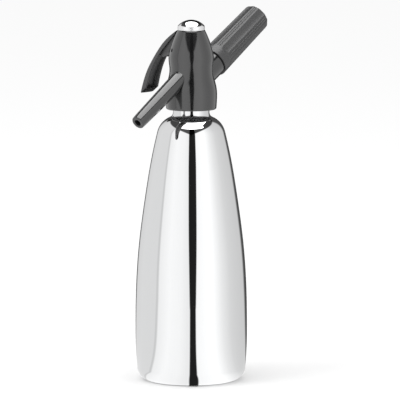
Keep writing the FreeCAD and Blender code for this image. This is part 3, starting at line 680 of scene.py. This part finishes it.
class SIPHON_OT_bottle(bpy.types.Operator):
    """Make the polished bottle and the thread on its neck."""
    bl_idname = "siphon.bottle"
    bl_label = "Bottle"

    stations = ((48.4, 20.0), (49.2, 48.0), (46.6, 115.0), (40.5, 163.0), (35.2, 195.0))
    shoulder = (11.55, 215.5)
    shoulder_start = 14.0
    groove = (28.0, 3.0, 0.6)
    thread_start = 241.5

    def side(self, sizes, inset):
        """The side from the foot corner to the start of the shoulder's arc, in metres."""
        foot = (sizes.foot_radius, sizes.foot_corner)
        corner = arc_points(foot, sizes.foot_corner - inset, -90, 0, 14)
        turn = math.radians(self.shoulder_start)
        arc = sizes.shoulder_arc - inset
        shoulder = [part * MM for part in self.shoulder]
        last = (shoulder[0] + arc * math.cos(turn), shoulder[1] + arc * math.sin(turn))
        stations = [(radius * MM - inset, height * MM) for radius, height in self.stations]
        first = (sizes.foot_radius + sizes.foot_corner - inset, sizes.foot_corner)
        return corner + spline_through(
            [first, *stations, last], 14, (0.08, 1), (-math.sin(turn), math.cos(turn))
        )[1:]

    def outline(self, sizes):
        """The whole outline: outside up to the rim, then down the inside."""
        shoulder = [part * MM for part in self.shoulder]
        reach = sizes.shoulder_arc + sizes.neck_fillet
        fillet_radius = sizes.neck_radius + sizes.neck_fillet
        meet = math.degrees(math.acos((fillet_radius - shoulder[0]) / reach))
        fillet = (fillet_radius, shoulder[1] + reach * math.sin(math.radians(meet)))
        middle, width, deep = (part * MM for part in self.groove)
        low, high = middle - width / 2, middle + width / 2
        out = [(0, 0), (low - MM, 0), *soft_corners(
            [(low, 0), (low, deep), (high, deep), (high, 0)], 0.3 * MM, 2), (high + MM, 0)]
        out += self.side(sizes, 0)
        out += arc_points(shoulder, sizes.shoulder_arc, self.shoulder_start, meet, 20)[1:]
        out += arc_points(fillet, sizes.neck_fillet, 180 + meet, 180, 12)[1:]
        thread = self.thread_start * MM
        out += [(sizes.neck_radius, thread - MM / 2), (sizes.neck_radius, thread)]
        out += [(sizes.thread_root, thread + MM / 2), (sizes.thread_root, NECK_RIM - MM / 2)]
        out += [(sizes.thread_root - MM / 2, NECK_RIM), (sizes.neck_bore + MM / 2, NECK_RIM)]
        out += [(sizes.neck_bore, NECK_RIM - MM / 2)]
        inner_arc = sizes.shoulder_arc - sizes.wall
        end = math.degrees(math.acos((sizes.neck_bore - shoulder[0]) / inner_arc))
        out += arc_points(shoulder, inner_arc, end, self.shoulder_start, 12)
        out += self.side(sizes, sizes.wall)[::-1][1:-6]
        return out + [(sizes.foot_radius, sizes.floor), (0, sizes.floor)]

    def execute(self, context):
        sizes = context.scene.siphon_bottle
        material = finish("polished_aluminium")
        bottle = smooth(turned("bottle_shell", self.outline(sizes), 192), 40)
        dress(bottle, material, "bottle", "polished_aluminium", "bottle")
        low = (self.thread_start + 1.2) * MM
        height = NECK_RIM - low - 2.5 * MM
        thread = wound(
            "neck_thread", material, height / sizes.thread_pitch, sizes.thread_root, height, 0.55 * MM, low
        )
        dress(thread, material, "bottle", "polished_aluminium")
        return {"FINISHED"}


class SIPHON_OT_head(bpy.types.Operator):
    """Make the moulded head, with its boss, its holes and its lever slot."""
    bl_idname = "siphon.head"
    bl_label = "Head"

    belly = ((22.7, 10.3), (22.0, 20.5))
    taper = ((19.4, -38.7), (19.2, -32.2), (19.9, -25.5), (17.7, -13.7), (15.3, -7.1))
    # Millimetres: radii of the room for the valve and of the holes, and where the slanted ones run
    room_radius = 16.5
    nipple_hole = 10.6
    pin_hole = 1.52
    spout_play = 0.06
    slanted_hole = (13, 60)

    def outline(self, sizes):
        """The outside from the lower edge to the cap, then the stepped rooms inside."""
        low = (sizes.base_radius, HEAD_LOW + sizes.base_rounding)
        stations = [(radius * MM, HEAD_LOW + rise * MM) for radius, rise in self.belly]
        stations += [(radius * MM, HEAD_HIGH + rise * MM) for radius, rise in self.taper]
        out = arc_points((low[0] - sizes.base_rounding, low[1]), sizes.base_rounding, -90, 0, 8)
        out += spline_through([low, *stations, (sizes.top_radius, HEAD_HIGH - 0.3 * MM)], 12)[1:]
        cap_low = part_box("dome_cap")[0].z
        core_low, core_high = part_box("valve_core")[0].z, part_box("valve_core")[1].z
        rooms = [
            (sizes.top_radius - 0.4 * MM, HEAD_HIGH), (8.02 * MM, HEAD_HIGH),
            (8.02 * MM, cap_low - 0.3 * MM), (6.6 * MM, cap_low - 0.3 * MM),
            (6.6 * MM, core_high + 2.3 * MM), (7.3 * MM, core_high + 2.3 * MM),
            (7.3 * MM, core_high + 0.5 * MM), (16.5 * MM, core_high + 0.5 * MM),
            (16.5 * MM, core_low + 3.1 * MM), (19.7 * MM, core_low + 3.1 * MM),
            (19.7 * MM, HEAD_LOW + 0.3 * MM), (20.0 * MM, HEAD_LOW),
        ]
        return out + rooms

    def boss(self, sizes):
        """The boss for the holder."""
        end, radius = sizes.boss_end, sizes.boss_radius
        outline = [(0, 12 * MM), (radius, 12 * MM), (radius, end - 0.5 * MM)]
        outline += [(radius - 0.5 * MM, end), (0, end)]
        return turned("boss", outline, 96, holder_place())

    def execute(self, context):
        sizes = context.scene.siphon_head
        spout = context.scene.siphon_spout
        lever = context.scene.siphon_lever
        head = turned("head_shell", self.outline(sizes), 144)
        room = cylinder("room", self.room_radius * MM, HEAD_LOW - MM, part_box("valve_core")[1].z)
        head = combine(head, combine(self.boss(sizes), room, "DIFFERENCE"), "UNION")
        low, high = (part * MM for part in self.slanted_hole)
        spout_hole = spout.root_radius + self.spout_play * MM
        half = sizes.slot_width / 2
        seat_half = lever.top_half + 0.9 * MM
        for cut in (
            cylinder("nipple_hole", self.nipple_hole * MM, low, high, place=holder_place()),
            cylinder("spout_hole", spout_hole, low, high, place=spout_place()),
            box_mesh("slot", (-30 * MM, -half, PIVOT_Z - 11.2 * MM), (4 * MM, half, HEAD_HIGH - 5 * MM)),
            box_mesh("seat", (-31 * MM, -seat_half, HEAD_HIGH - 10 * MM),
                     (-10.7 * MM, seat_half, HEAD_HIGH + 30 * MM)),
            cylinder("pin_hole", self.pin_hole * MM, -30 * MM, 30 * MM, 48, on_pin()),
        ):
            head = combine(head, cut, "DIFFERENCE")
        smooth(head, 30)
        dress(head, finish("charcoal_gloss"), "head", "charcoal_gloss", "head_cover")
        return {"FINISHED"}


class SIPHON_OT_cap(bpy.types.Operator):
    """Make the chrome dome cap."""
    bl_idname = "siphon.cap"
    bl_label = "Dome cap"

    def execute(self, context):
        sizes = context.scene.siphon_head
        radius = sizes.cap_radius
        band_top, crown = HEAD_HIGH + sizes.cap_band, HEAD_HIGH + sizes.cap_height
        rise = crown - band_top
        ball = (radius ** 2 + rise ** 2) / (2 * rise)
        start = 90 - math.degrees(math.asin((radius - 0.35 * MM) / ball))
        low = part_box("dome_cap")[0].z
        outline = [(4.6 * MM, low), (7.5 * MM, low), (8.0 * MM, low + 0.5 * MM)]
        outline += [(8.0 * MM, HEAD_HIGH + 0.1 * MM)]
        outline += [(radius - 0.4 * MM, HEAD_HIGH + 0.1 * MM), (radius - 0.1 * MM, HEAD_HIGH + 0.25 * MM)]
        outline += [(radius, HEAD_HIGH + 0.5 * MM), (radius, band_top - 0.45 * MM)]
        outline += [(radius - 0.06 * MM, band_top - 0.15 * MM)]
        outline += arc_points((0, crown - ball), ball, start, 90, 28)[:-1] + [(0, crown)]
        outline += [(0, crown - 6.2 * MM), (4.6 * MM, crown - 6.2 * MM)]
        cap = smooth(turned("dome_cap_shell", outline, 128), 35)
        dress(cap, finish("chrome_cap"), "head", "chrome_cap", "dome_cap")
        return {"FINISHED"}


class SIPHON_OT_lever(bpy.types.Operator):
    """Make the lever: curved channel, arm, hub and fork."""
    bl_idname = "siphon.lever"
    bl_label = "Lever"

    back = ((-5.2, 16.5), (-16.2, 8.8), (-29.2, -6.6), (-38.8, -23.6), (-44.1, -41.2))
    rims = ((-7.1, 12.3), (-16.9, 2.1), (-27.8, -11.9), (-37.3, -35.9))
    stations = 60
    # Millimetres: the fork's reach from the pin, half its gap for the stem, and the bore on the pin
    fork_reach = 8
    gap_half = 2.3
    pin_bore = 1.55
    # Distance back from the tip and inset of the sections that round off the end
    end_rounding = ((0.62, 0.0), (0.42, 0.03), (0.24, 0.12), (0.10, 0.26), (0.02, 0.42), (0.0, 0.52))

    def resampled(self, points, count):
        """Points at even steps along a smooth curve through the given ones."""
        fine = np.array(spline_through(points, 24))
        run = np.concatenate([[0], np.cumsum(np.linalg.norm(np.diff(fine, axis=0), axis=1))])
        at = np.linspace(0, run[-1], count + 1)
        return np.stack([np.interp(at, run, fine[:, 0]), np.interp(at, run, fine[:, 1])], axis=1) * MM

    def section(self, half, depth, sizes, inset):
        """Half a section of the channel as (y, depth) points, rounded at its outer corner and rims."""
        edge = min(sizes.edge, half * 0.4)
        wall, web = sizes.wall - 2 * inset, sizes.web - 2 * inset
        inner = half - wall
        rim = wall * 0.35
        crown = 0.3 * MM
        outside = [(0, 0), (half * 0.35, crown * 0.12), (half * 0.65, crown * 0.45)]
        outside += [(half - edge + edge * math.sin(turn), crown + edge - edge * math.cos(turn))
                    for turn in (math.pi / 2 * step / 6 for step in range(7))]
        outside += [(half, depth * 0.55), (half, depth - rim), (half - rim * 0.3, depth - rim * 0.3)]
        outside += [(half - rim, depth), (inner + rim, depth), (inner + rim * 0.3, depth - rim * 0.3)]
        outside += [(inner, depth - rim), (inner, web + 0.7 * MM), (inner - 0.2 * MM, web + 0.2 * MM)]
        return outside + [(inner - 0.7 * MM, web), (0, web)]

    def blade(self, sizes):
        """The channel, lofted through its sections from the top to the tip."""
        outer = self.resampled(self.back, self.stations)
        inner = self.resampled(self.rims, self.stations)
        bm = bmesh.new()
        rings = []
        places = [(start, end, 0.0) for start, end in zip(outer[:-1], inner[:-1])]
        for back, inset in self.end_rounding:
            share = back * MM / float(np.linalg.norm(outer[-1] - outer[-2]))
            places.append((
                outer[-1] + (outer[-2] - outer[-1]) * share, inner[-1] + (inner[-2] - inner[-1]) * share,
                inset * MM,
            ))
        for step, (start, end, inset) in enumerate(places):
            share = min(step, self.stations) / self.stations
            half = sizes.top_half + (sizes.tip_half - sizes.top_half) * share - inset
            across = end - start
            way = across / float(np.linalg.norm(across))
            start = start + way * inset
            depth = float(np.linalg.norm(across)) - 2 * inset
            right = self.section(half, depth, sizes, inset)
            full = right + [(-y, d) for y, d in right[-2:0:-1]]
            ring = []
            for y, d in full:
                place = start + way * d
                ring.append(bm.verts.new((PIVOT_X + place[0], y, PIVOT_Z + place[1])))
            rings.append(ring)
        count = len(rings[0])
        for ring, after in zip(rings, rings[1:]):
            for k in range(count):
                j = (k + 1) % count
                bm.faces.new([ring[k], ring[j], after[j], after[k]])
        for ring in (rings[0], rings[-1]):
            half_count = count // 2
            for k in range(half_count):
                corners = [ring[k], ring[k + 1], ring[(count - k - 1) % count], ring[(count - k) % count]]
                unique = list(dict.fromkeys(corners))
                if len(unique) > 2:
                    bm.faces.new(unique)
        return from_bmesh("lever_blade", bm)

    def plate(self, name, outline, half):
        """A plate of one outline in the lever's plane, both faces closed."""
        bm = bmesh.new()
        front = [bm.verts.new((PIVOT_X + x * MM, -half, PIVOT_Z + z * MM)) for x, z in outline]
        rear = [bm.verts.new((PIVOT_X + x * MM, half, PIVOT_Z + z * MM)) for x, z in outline]
        bm.faces.new(front)
        bm.faces.new(rear[::-1])
        for k in range(len(front)):
            j = (k + 1) % len(front)
            bm.faces.new([front[k], rear[k], rear[j], front[j]])
        return from_bmesh(name, bm)

    def arm(self, sizes):
        """The arm from the channel to the hub, with its fork."""
        outer = spline_through(self.back, 8)
        middle = []
        for before, here, after in zip(outer, outer[1:], outer[2:]):
            along = Vector((after[0] - before[0], after[1] - before[1])).normalized()
            middle.append((here[0] - along.y * 1.1, here[1] + along.x * 1.1))
        top = [point for point in middle if -27 < point[0] < -9.5]
        hub = sizes.hub_radius / MM
        outline = [(0, hub), *top, (top[-1][0] + 5.5, -hub - 4.5), (-9, -hub - 0.6), (0, -hub)]
        return self.plate("lever_arm", outline, sizes.arm_half)

    def drum(self, name, radius, half, aside=0.0):
        """A cylinder across the lever."""
        return cylinder(name, radius, -half, half, 48, on_pin(aside))

    def execute(self, context):
        sizes = context.scene.siphon_lever
        half = sizes.arm_half
        reach, gap_half = self.fork_reach * MM, self.gap_half * MM
        lever = combine(self.blade(sizes), self.arm(sizes), "UNION")
        lever = combine(lever, self.drum("hub", sizes.hub_radius, half), "UNION")
        prong = self.plate("prong", [(0, 2), (self.fork_reach, 2), (self.fork_reach, -2), (0, -2)], half)
        prong = combine(prong, self.drum("nose", 2 * MM, half, reach), "UNION")
        gap = box_mesh(
            "fork_gap", (-3.2 * MM, -gap_half, PIVOT_Z - 5 * MM), (6 * MM, gap_half, PIVOT_Z + 5 * MM)
        )
        lever = combine(lever, combine(prong, gap, "DIFFERENCE"), "UNION")
        lever = combine(lever, self.drum("bore", self.pin_bore * MM, 20 * MM), "DIFFERENCE")
        lever.name = "lever_shell"
        smooth(lever, 38)
        dress(lever, finish("charcoal_lever"), "lever", "charcoal_lever", "lever")
        return {"FINISHED"}


class SIPHON_OT_spout(bpy.types.Operator):
    """Make the tapered spout with its bore."""
    bl_idname = "siphon.spout"
    bl_label = "Spout"

    def execute(self, context):
        sizes = context.scene.siphon_spout
        tip = sizes.reach
        slope = (sizes.tip_radius - sizes.root_radius) / (tip - sizes.shoulder)
        outline = [(sizes.bore, sizes.spigot_start), (sizes.spigot_radius, sizes.spigot_start)]
        outline += [(sizes.spigot_radius, sizes.shoulder), (sizes.root_radius, sizes.shoulder)]
        steps = 12
        for step in range(1, steps):
            at = sizes.shoulder + (tip - 0.8 * MM - sizes.shoulder) * step / steps
            outline.append((sizes.root_radius + slope * (at - sizes.shoulder), at))
        outline += arc_points((sizes.tip_radius - 0.9 * MM, tip - 0.9 * MM), 0.8 * MM, 2, 88, 6)
        outline += [(sizes.bore + 0.5 * MM, tip - 0.08 * MM), (sizes.bore + 0.12 * MM, tip - 0.2 * MM)]
        outline += [(sizes.bore, tip - 0.6 * MM)]
        spout = smooth(turned("spout_shell", outline, 128, spout_place()), 35)
        dress(spout, finish("charcoal_spout"), "head", "charcoal_spout", "spout")
        return {"FINISHED"}


class SIPHON_OT_holder(bpy.types.Operator):
    """Make the charger holder with its finger flutes, and the thread it screws on."""
    bl_idname = "siphon.holder"
    bl_label = "Charger holder"

    hollow_steps = 30
    rib_steps = 42
    rib_grooves = (0.33, 0.67)
    groove_half = 0.11

    def run_in(self, sizes):
        """The length over which a flute comes to its full depth."""
        return math.sqrt(sizes.flute_radius ** 2 - (sizes.flute_radius - sizes.flute_depth) ** 2)

    def flute(self, sizes, at, surface):
        """The radius of a flute's hollow, its middle's distance and its half angle at one place."""
        deepest = self.run_in(sizes)
        before = max(0.0, sizes.start + sizes.flute_start + deepest - at)
        centre = surface - sizes.flute_depth + sizes.flute_radius
        if before >= deepest:
            return 0.0, centre, 0.0
        hollow = math.sqrt(sizes.flute_radius ** 2 - before ** 2)
        meet = (centre ** 2 + surface ** 2 - hollow ** 2) / (2 * centre * surface)
        return hollow, centre, math.acos(min(1.0, meet))

    def ring(self, sizes, radius, at, surface, fluted):
        """One ring of the sleeve as (angle, radius), its points following the flutes' edges."""
        pitch = 2 * math.pi / sizes.flutes
        hollow, centre, half = self.flute(sizes, at, surface)
        spread = max(half, math.radians(3.0))
        run = min(1.0, max(0.0, (at - sizes.start - sizes.flute_start - 1.2 * MM) / (2.5 * MM)))
        out = []
        for number in range(sizes.flutes):
            middle = sizes.flute_turn + number * pitch
            for step in range(self.hollow_steps):
                off = spread * (2 * step / self.hollow_steps - 1)
                here = radius
                if fluted and abs(off) <= half:
                    inside = hollow ** 2 - (centre * math.sin(off)) ** 2
                    here = min(radius, centre * math.cos(off) - math.sqrt(max(0.0, inside)))
                out.append((middle + off, here))
            for step in range(self.rib_steps):
                share = step / self.rib_steps
                across = min(abs(share - groove) for groove in self.rib_grooves) / self.groove_half
                cut = sizes.groove_depth * run * max(0.0, 1 - across ** 2) if fluted else 0.0
                out.append((middle + spread + share * (pitch - 2 * spread), radius - cut))
        return out

    def sleeve(self, sizes):
        """The sleeve as one closed mesh, its outside shaped ring by ring."""
        start, end = sizes.start, sizes.start + sizes.reach
        slope = (sizes.end_radius - sizes.rim_radius) / sizes.reach
        rows = [(12.2 * MM, start, 0), (sizes.rim_radius - 0.6 * MM, start, 0)]
        rows += [(radius, at, 0) for radius, at in arc_points(
            (sizes.rim_radius - 0.6 * MM, start + 0.6 * MM), 0.6 * MM, -80, 0, 5)]
        body_start, body_end = start + 1.5 * MM, end - sizes.end_rounding
        deepest = self.run_in(sizes)
        flute_low = start + sizes.flute_start
        places = [body_start + (flute_low - body_start) * step / 6 for step in range(6)]
        places += [flute_low + deepest * (step / 22) ** 2 for step in range(22)]
        places += [flute_low + deepest + (body_end - flute_low - deepest) * step / 40 for step in range(41)]
        rows += [(sizes.rim_radius + slope * (at - start), at, 1) for at in places]
        last = sizes.rim_radius + slope * (body_end - start)
        rows += [(radius, at, 1) for radius, at in arc_points(
            (last - sizes.end_rounding, body_end), sizes.end_rounding, 6, 90, 10)]
        dish, inside, step_at = end - 0.25 * MM, end - 2 * MM, start + 12.4 * MM
        rows += [(9.5 * MM, end, 0), (9.0 * MM, dish, 0), (0, dish, 0), (0, inside, 0)]
        rows += [(9.7 * MM, inside, 0), (9.7 * MM, step_at, 0), (12.2 * MM, step_at, 0)]
        bm = bmesh.new()
        rings = []
        for radius, at, fluted in rows:
            if radius == 0:
                rings.append([bm.verts.new((0, 0, at))])
                continue
            surface = sizes.rim_radius + slope * (at - start)
            rings.append([
                bm.verts.new((here * math.cos(turn), here * math.sin(turn), at))
                for turn, here in self.ring(sizes, radius, at, surface, fluted)
            ])
        join_rings(bm, rings)
        bm.transform(holder_place())
        return from_bmesh("holder_sleeve", bm)

    def execute(self, context):
        sizes = context.scene.siphon_holder
        sleeve = smooth(self.sleeve(sizes), 24)
        dress(sleeve, finish("charcoal_satin"), "holder", "charcoal_satin", "charger_holder")
        height = 9 * MM
        thread = wound(
            "holder_thread", finish("nickel_brass"), height / sizes.thread_pitch, 10.4 * MM, height,
            0.25 * MM, sizes.start + 1.2 * MM, holder_place(),
        )
        dress(thread, finish("nickel_brass"), "head", "nickel_brass")
        return {"FINISHED"}


class SIPHON_OT_inside(bpy.types.Operator):
    """Give every carried-over piece its finish, and round off the seal, the pin and the spring."""
    bl_idname = "siphon.inside"
    bl_label = "Seals, valve and charger"

    plain = {
        "neck_gasket": "silicone_seal", "measuring_tube": "white_tube_plastic",
        "tube_carrier": "white_tube_plastic", "siphon_tube": "white_tube_plastic",
        "valve_core": "nickel_brass", "thread_collar": "charcoal_satin", "collar_screws": "bright_steel",
        "valve_seat": "nickel_brass", "stem_guide": "nickel_brass", "stem_seal": "black_seal",
        "siphon_seal": "black_seal", "spout_seal": "black_seal", "piercer_body": "nickel_brass",
        "piercing_pin": "bright_steel", "charger_seal": "black_seal", "check_ball": "bright_steel",
        "valve_stem": "bright_steel", "valve_washer": "black_seal", "lift_nut": "nickel_brass",
        "holder_liner": "nickel_brass", "end_pad": "black_seal", "co2_charger": "charger_steel",
    }
    # The black ring's two radii and its two ends along the holder's axis, in millimetres
    rim_ring = (10.5, 12.15, 33.6, 34.1)
    spring_turns = 7
    spring_wire = 1.0 * MM

    def spring(self):
        """The return spring, wound over the packed spring's length."""
        low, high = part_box("stem_spring")
        height = high.z - low.z - self.spring_wire
        radius = high.x - self.spring_wire / 2
        coil = wound(
            "return_spring", finish("bright_steel"), self.spring_turns, radius, height,
            self.spring_wire / 2, low.z + self.spring_wire / 2,
        )
        dress(coil, finish("bright_steel"), "head", "bright_steel", "stem_spring")
        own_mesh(coil)

    def execute(self, context):
        for node, name in self.plain.items():
            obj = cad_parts[node]
            obj.data.materials.clear()
            obj.data.materials.append(finish(name))
        inner, outer, low, high = (part * MM for part in self.rim_ring)
        corners = [(inner, low), (outer, low), (outer, high), (inner, high)]
        ring = turned("rim_ring", soft_corners(corners, 0.2 * MM), 128, holder_place())
        dress(smooth(ring), finish("black_seal"), "head", "black_seal", "rim_seal")
        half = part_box("lever_pin")[1].y
        outline = [(0, -half), (1.1 * MM, -half), (1.5 * MM, -half + 0.4 * MM),
                   (1.5 * MM, half - 0.4 * MM), (1.1 * MM, half), (0, half)]
        pin = smooth(turned("lever_pin_rod", outline, 48, on_pin()))
        dress(pin, finish("dark_steel"), "head", "dark_steel", "lever_pin")
        self.spring()
        return {"FINISHED"}


class SIPHON_OT_studio(bpy.types.Operator):
    """Set the camera, the pale floor and the soft studio light."""
    bl_idname = "siphon.studio"
    bl_label = "Studio"

    tent_strength = 1.3
    # Brightness of the tent by the angle from the camera's side in degrees, the left below zero
    tent_levels = (
        (-180, 0.05), (-160, 0.06), (-155, 0.40), (-148, 0.62), (-120, 0.68), (-77, 0.68), (-75, 0.58),
        (-72, 0.58), (-69, 0.84), (-45, 0.94), (-20, 0.90), (-6, 0.82), (12, 0.94), (30, 1.0), (47, 1.0),
        (66, 0.80), (86, 0.66), (100, 0.62), (136, 0.56), (141, 0.30), (145, 0.07), (180, 0.05),
    )
    tent_radius, tent_height = 0.8, 1.5
    dark = 0.08
    # Slopes of the sight line from the head at which the white panels end: in front, and more at the sides
    panel_end, panel_side = 0.32, 0.68
    # The gap's middle and its half widths, in degrees, for the slopes at which the bottle and head show it
    gap_middle, gap_halves, gap_slopes = 3.2, (5.8, 10.5), (-0.40, 0.15)
    gap_level, gap_blur = 0.015, 0.8
    floor_radius = 14
    overhead_strength = 3.7
    world_strength = 1.08
    lamp_distance = 2.2
    # Name, turn from the camera, height angle, power and size of each lamp
    lamps = (("key", -60, 50, 9, 1.0), ("top", 0, 85, 5, 1.6))

    def towards(self, turn, lift):
        """The direction at a turn round the bottle and an angle above the level."""
        return Vector((math.sin(turn) * math.cos(lift), -math.cos(turn) * math.cos(lift), math.sin(lift)))

    def glow_material(self, name, values):
        """A material that only gives off light."""
        material, tree = new_material(name)
        tree.nodes.remove(tree.nodes[PRINCIPLED])
        glow = feed(tree, add(tree, "ShaderNodeEmission"), values(tree))
        feed(tree, tree.nodes["Material Output"], {"Surface": glow.outputs["Emission"]})
        return material

    def camera(self, context, sizes):
        """The camera at the photograph's angle."""
        data = bpy.data.cameras.new("camera")
        data.sensor_width = 36
        data.lens = data.sensor_width * sizes.distance / sizes.picture_width
        data.clip_start, data.clip_end = 0.1, 60
        obj = new_object("camera", data)
        back = self.towards(sizes.azimuth, sizes.elevation)
        right = Vector((math.cos(sizes.azimuth), math.sin(sizes.azimuth), 0))
        aim = right * sizes.aim_right + Vector((0, 0, sizes.aim_height))
        obj.location = aim + back * sizes.distance
        obj.rotation_mode = "QUATERNION"
        obj.rotation_quaternion = (-back).to_track_quat("-Z", "Y")
        context.scene.camera = obj

    def paper_material(self, sizes):
        """Matt white paper with a trace of tooth."""
        material, tree = new_material("paper")
        tooth = noise(tree, object_place(tree), 400)
        shaded = (*(channel * 0.99 for channel in sizes.paper[:3]), 1)
        feed(tree, tree.nodes[PRINCIPLED], {
            "Roughness": 0.75, "Specular IOR Level": 0.0,
            "Base Color": blend(tree, tooth, tuple(sizes.paper), shaded),
        })
        return material

    def tent_light(self, tree):
        """The tent's light: white cloth with dark gaps, by the angle round the bottle."""
        sizes = bpy.context.scene.siphon_studio
        facing = feed(tree, add(tree, "ShaderNodeMapping"), {
            "Vector": object_place(tree), "Rotation": (0, 0, -sizes.azimuth + math.pi / 2),
        })
        parts = feed(tree, add(tree, "ShaderNodeSeparateXYZ"), {"Vector": facing.outputs["Vector"]}).outputs
        angle = math_node(tree, "ARCTAN2", parts["Y"], parts["X"])
        share = math_node(tree, "ADD", math_node(tree, "DIVIDE", angle, 2 * math.pi), 0.5)
        ramp = feed(tree, add(tree, "ShaderNodeValToRGB"), {"Fac": share})
        elements = ramp.color_ramp.elements
        while len(elements) > 1:
            elements.remove(elements[-1])
        for number, (degrees, level) in enumerate(self.tent_levels):
            at = (degrees + 180) / 360
            element = elements[0] if number == 0 else elements.new(at)
            element.position = at
            element.color = (level, level, level, 1)
        # The white panels end at a height that grows to the sides; above them the tent is dark
        level = feed(tree, add(tree, "ShaderNodeCombineXYZ"), {"X": parts["X"], "Y": parts["Y"]})
        flat = feed(tree, add(tree, "ShaderNodeVectorMath", operation="LENGTH"), {0: level.outputs["Vector"]})
        flat = flat.outputs["Value"]
        across = math_node(tree, "ABSOLUTE", math_node(tree, "DIVIDE", parts["Y"], flat))
        top = math_node(tree, "ADD", math_node(tree, "MULTIPLY", across, self.panel_side), self.panel_end)
        rise = math_node(tree, "DIVIDE", math_node(tree, "SUBTRACT", parts["Z"], sizes.head_height), flat)
        lit = mapped(tree, math_node(tree, "SUBTRACT", rise, top), 0.04, -0.04, self.dark)
        # The dark gap on the camera's side, wider where the head mirrors it
        gap = mapped(tree, rise, *self.gap_slopes, *(math.radians(half) for half in self.gap_halves))
        middle = math.radians(self.gap_middle)
        aside = math_node(tree, "ABSOLUTE", math_node(tree, "SUBTRACT", angle, middle))
        blur = math.radians(self.gap_blur)
        beside = mapped(tree, math_node(tree, "SUBTRACT", aside, gap), -blur, blur, self.gap_level)
        both = math_node(tree, "MULTIPLY", lit, beside)
        strength = math_node(tree, "MULTIPLY", both, self.tent_strength)
        return {"Strength": strength, "Color": ramp.outputs["Color"]}

    def only_reflected(self, obj):
        """Shows a stage object in reflections alone."""
        obj.visible_camera = False
        obj.visible_diffuse = False
        obj.visible_transmission = False
        obj.visible_volume_scatter = False
        obj.visible_shadow = False

    def overhead(self, sizes):
        """The soft box over the siphon, seen only in reflections."""
        bm = bmesh.new()
        level = sizes.head_height + 1.0
        corners = ((-0.80, -0.80), (0.80, -0.80), (0.80, -0.45), (0.52, -0.10), (0.52, 0.75),
                   (-0.42, 0.75), (-0.42, -0.10), (-0.80, -0.45))
        bm.faces.new([bm.verts.new((x, y, level)) for x, y in corners])
        bm.transform(Matrix.Rotation(sizes.azimuth, 4, "Z"))
        obj = plain_object("overhead", bm)
        obj.data.materials.append(
            self.glow_material("overhead", lambda tree: {"Strength": self.overhead_strength})
        )
        self.only_reflected(obj)

    def execute(self, context):
        sizes = context.scene.siphon_studio
        self.camera(context, sizes)
        bm = bmesh.new()
        bmesh.ops.create_circle(bm, cap_ends=True, segments=96, radius=self.floor_radius)
        floor = plain_object("floor", bm)
        floor.data.materials.append(self.paper_material(sizes))
        bm = bmesh.new()
        bmesh.ops.create_cone(
            bm, cap_ends=True, segments=128, radius1=self.tent_radius, radius2=self.tent_radius,
            depth=self.tent_height,
        )
        bm.transform(Matrix.Translation((0, 0, self.tent_height / 2 + 0.0004)))
        tent = plain_object("light_tent", bm)
        tent.data.materials.append(self.glow_material("light_tent", self.tent_light))
        self.only_reflected(tent)
        self.overhead(sizes)
        world = bpy.data.worlds.new("studio")
        context.scene.world = world
        world.use_nodes = True
        feed(world.node_tree, world.node_tree.nodes["Background"], {
            "Color": (1, 1, 1, 1), "Strength": self.world_strength,
        })
        for name, turn, lift, power, size in self.lamps:
            light = bpy.data.lights.new(name, "AREA")
            light.energy = power
            light.size = size
            lamp = new_object(name, light)
            back = self.towards(sizes.azimuth + math.radians(turn), math.radians(lift))
            lamp.location = back * self.lamp_distance
            lamp.rotation_mode = "QUATERNION"
            lamp.rotation_quaternion = back.to_track_quat("Z", "Y")
            lamp.visible_glossy = False
        context.scene.view_settings.view_transform = "Standard"
        context.scene.view_settings.look = "None"
        return {"FINISHED"}


class SIPHON_PT_panel(bpy.types.Panel):
    """Lists the siphon's steps and sizes in the sidebar."""
    bl_label = "Soda siphon"
    bl_idname = "SIPHON_PT_panel"
    bl_space_type = "VIEW_3D"
    bl_region_type = "UI"
    bl_category = "Siphon"

    def draw(self, context):
        layout = self.layout
        for operator in OPERATORS:
            layout.operator(operator.bl_idname)
        for key, group in GROUPS.items():
            box = layout.box()
            box.label(text=group.__doc__)
            for name in group.__annotations__:
                box.prop(getattr(context.scene, key), name)


OPERATORS = (
    SIPHON_OT_studio, SIPHON_OT_bottle, SIPHON_OT_head, SIPHON_OT_cap, SIPHON_OT_lever,
    SIPHON_OT_spout, SIPHON_OT_holder, SIPHON_OT_inside,
)
CLASSES = (*GROUPS.values(), *OPERATORS, SIPHON_PT_panel)


def register():
    for item in CLASSES:
        bpy.utils.register_class(item)
    for key, group in GROUPS.items():
        setattr(bpy.types.Scene, key, PointerProperty(type=group))


def unregister():
    for key in GROUPS:
        delattr(bpy.types.Scene, key)
    for item in reversed(CLASSES):
        bpy.utils.unregister_class(item)


def main():
    register()
    bpy.ops.siphon.studio()
    bpy.ops.siphon.bottle()
    bpy.ops.siphon.head()
    bpy.ops.siphon.cap()
    bpy.ops.siphon.lever()
    bpy.ops.siphon.spout()
    bpy.ops.siphon.holder()
    bpy.ops.siphon.inside()


if __name__ == "__main__":
    main()
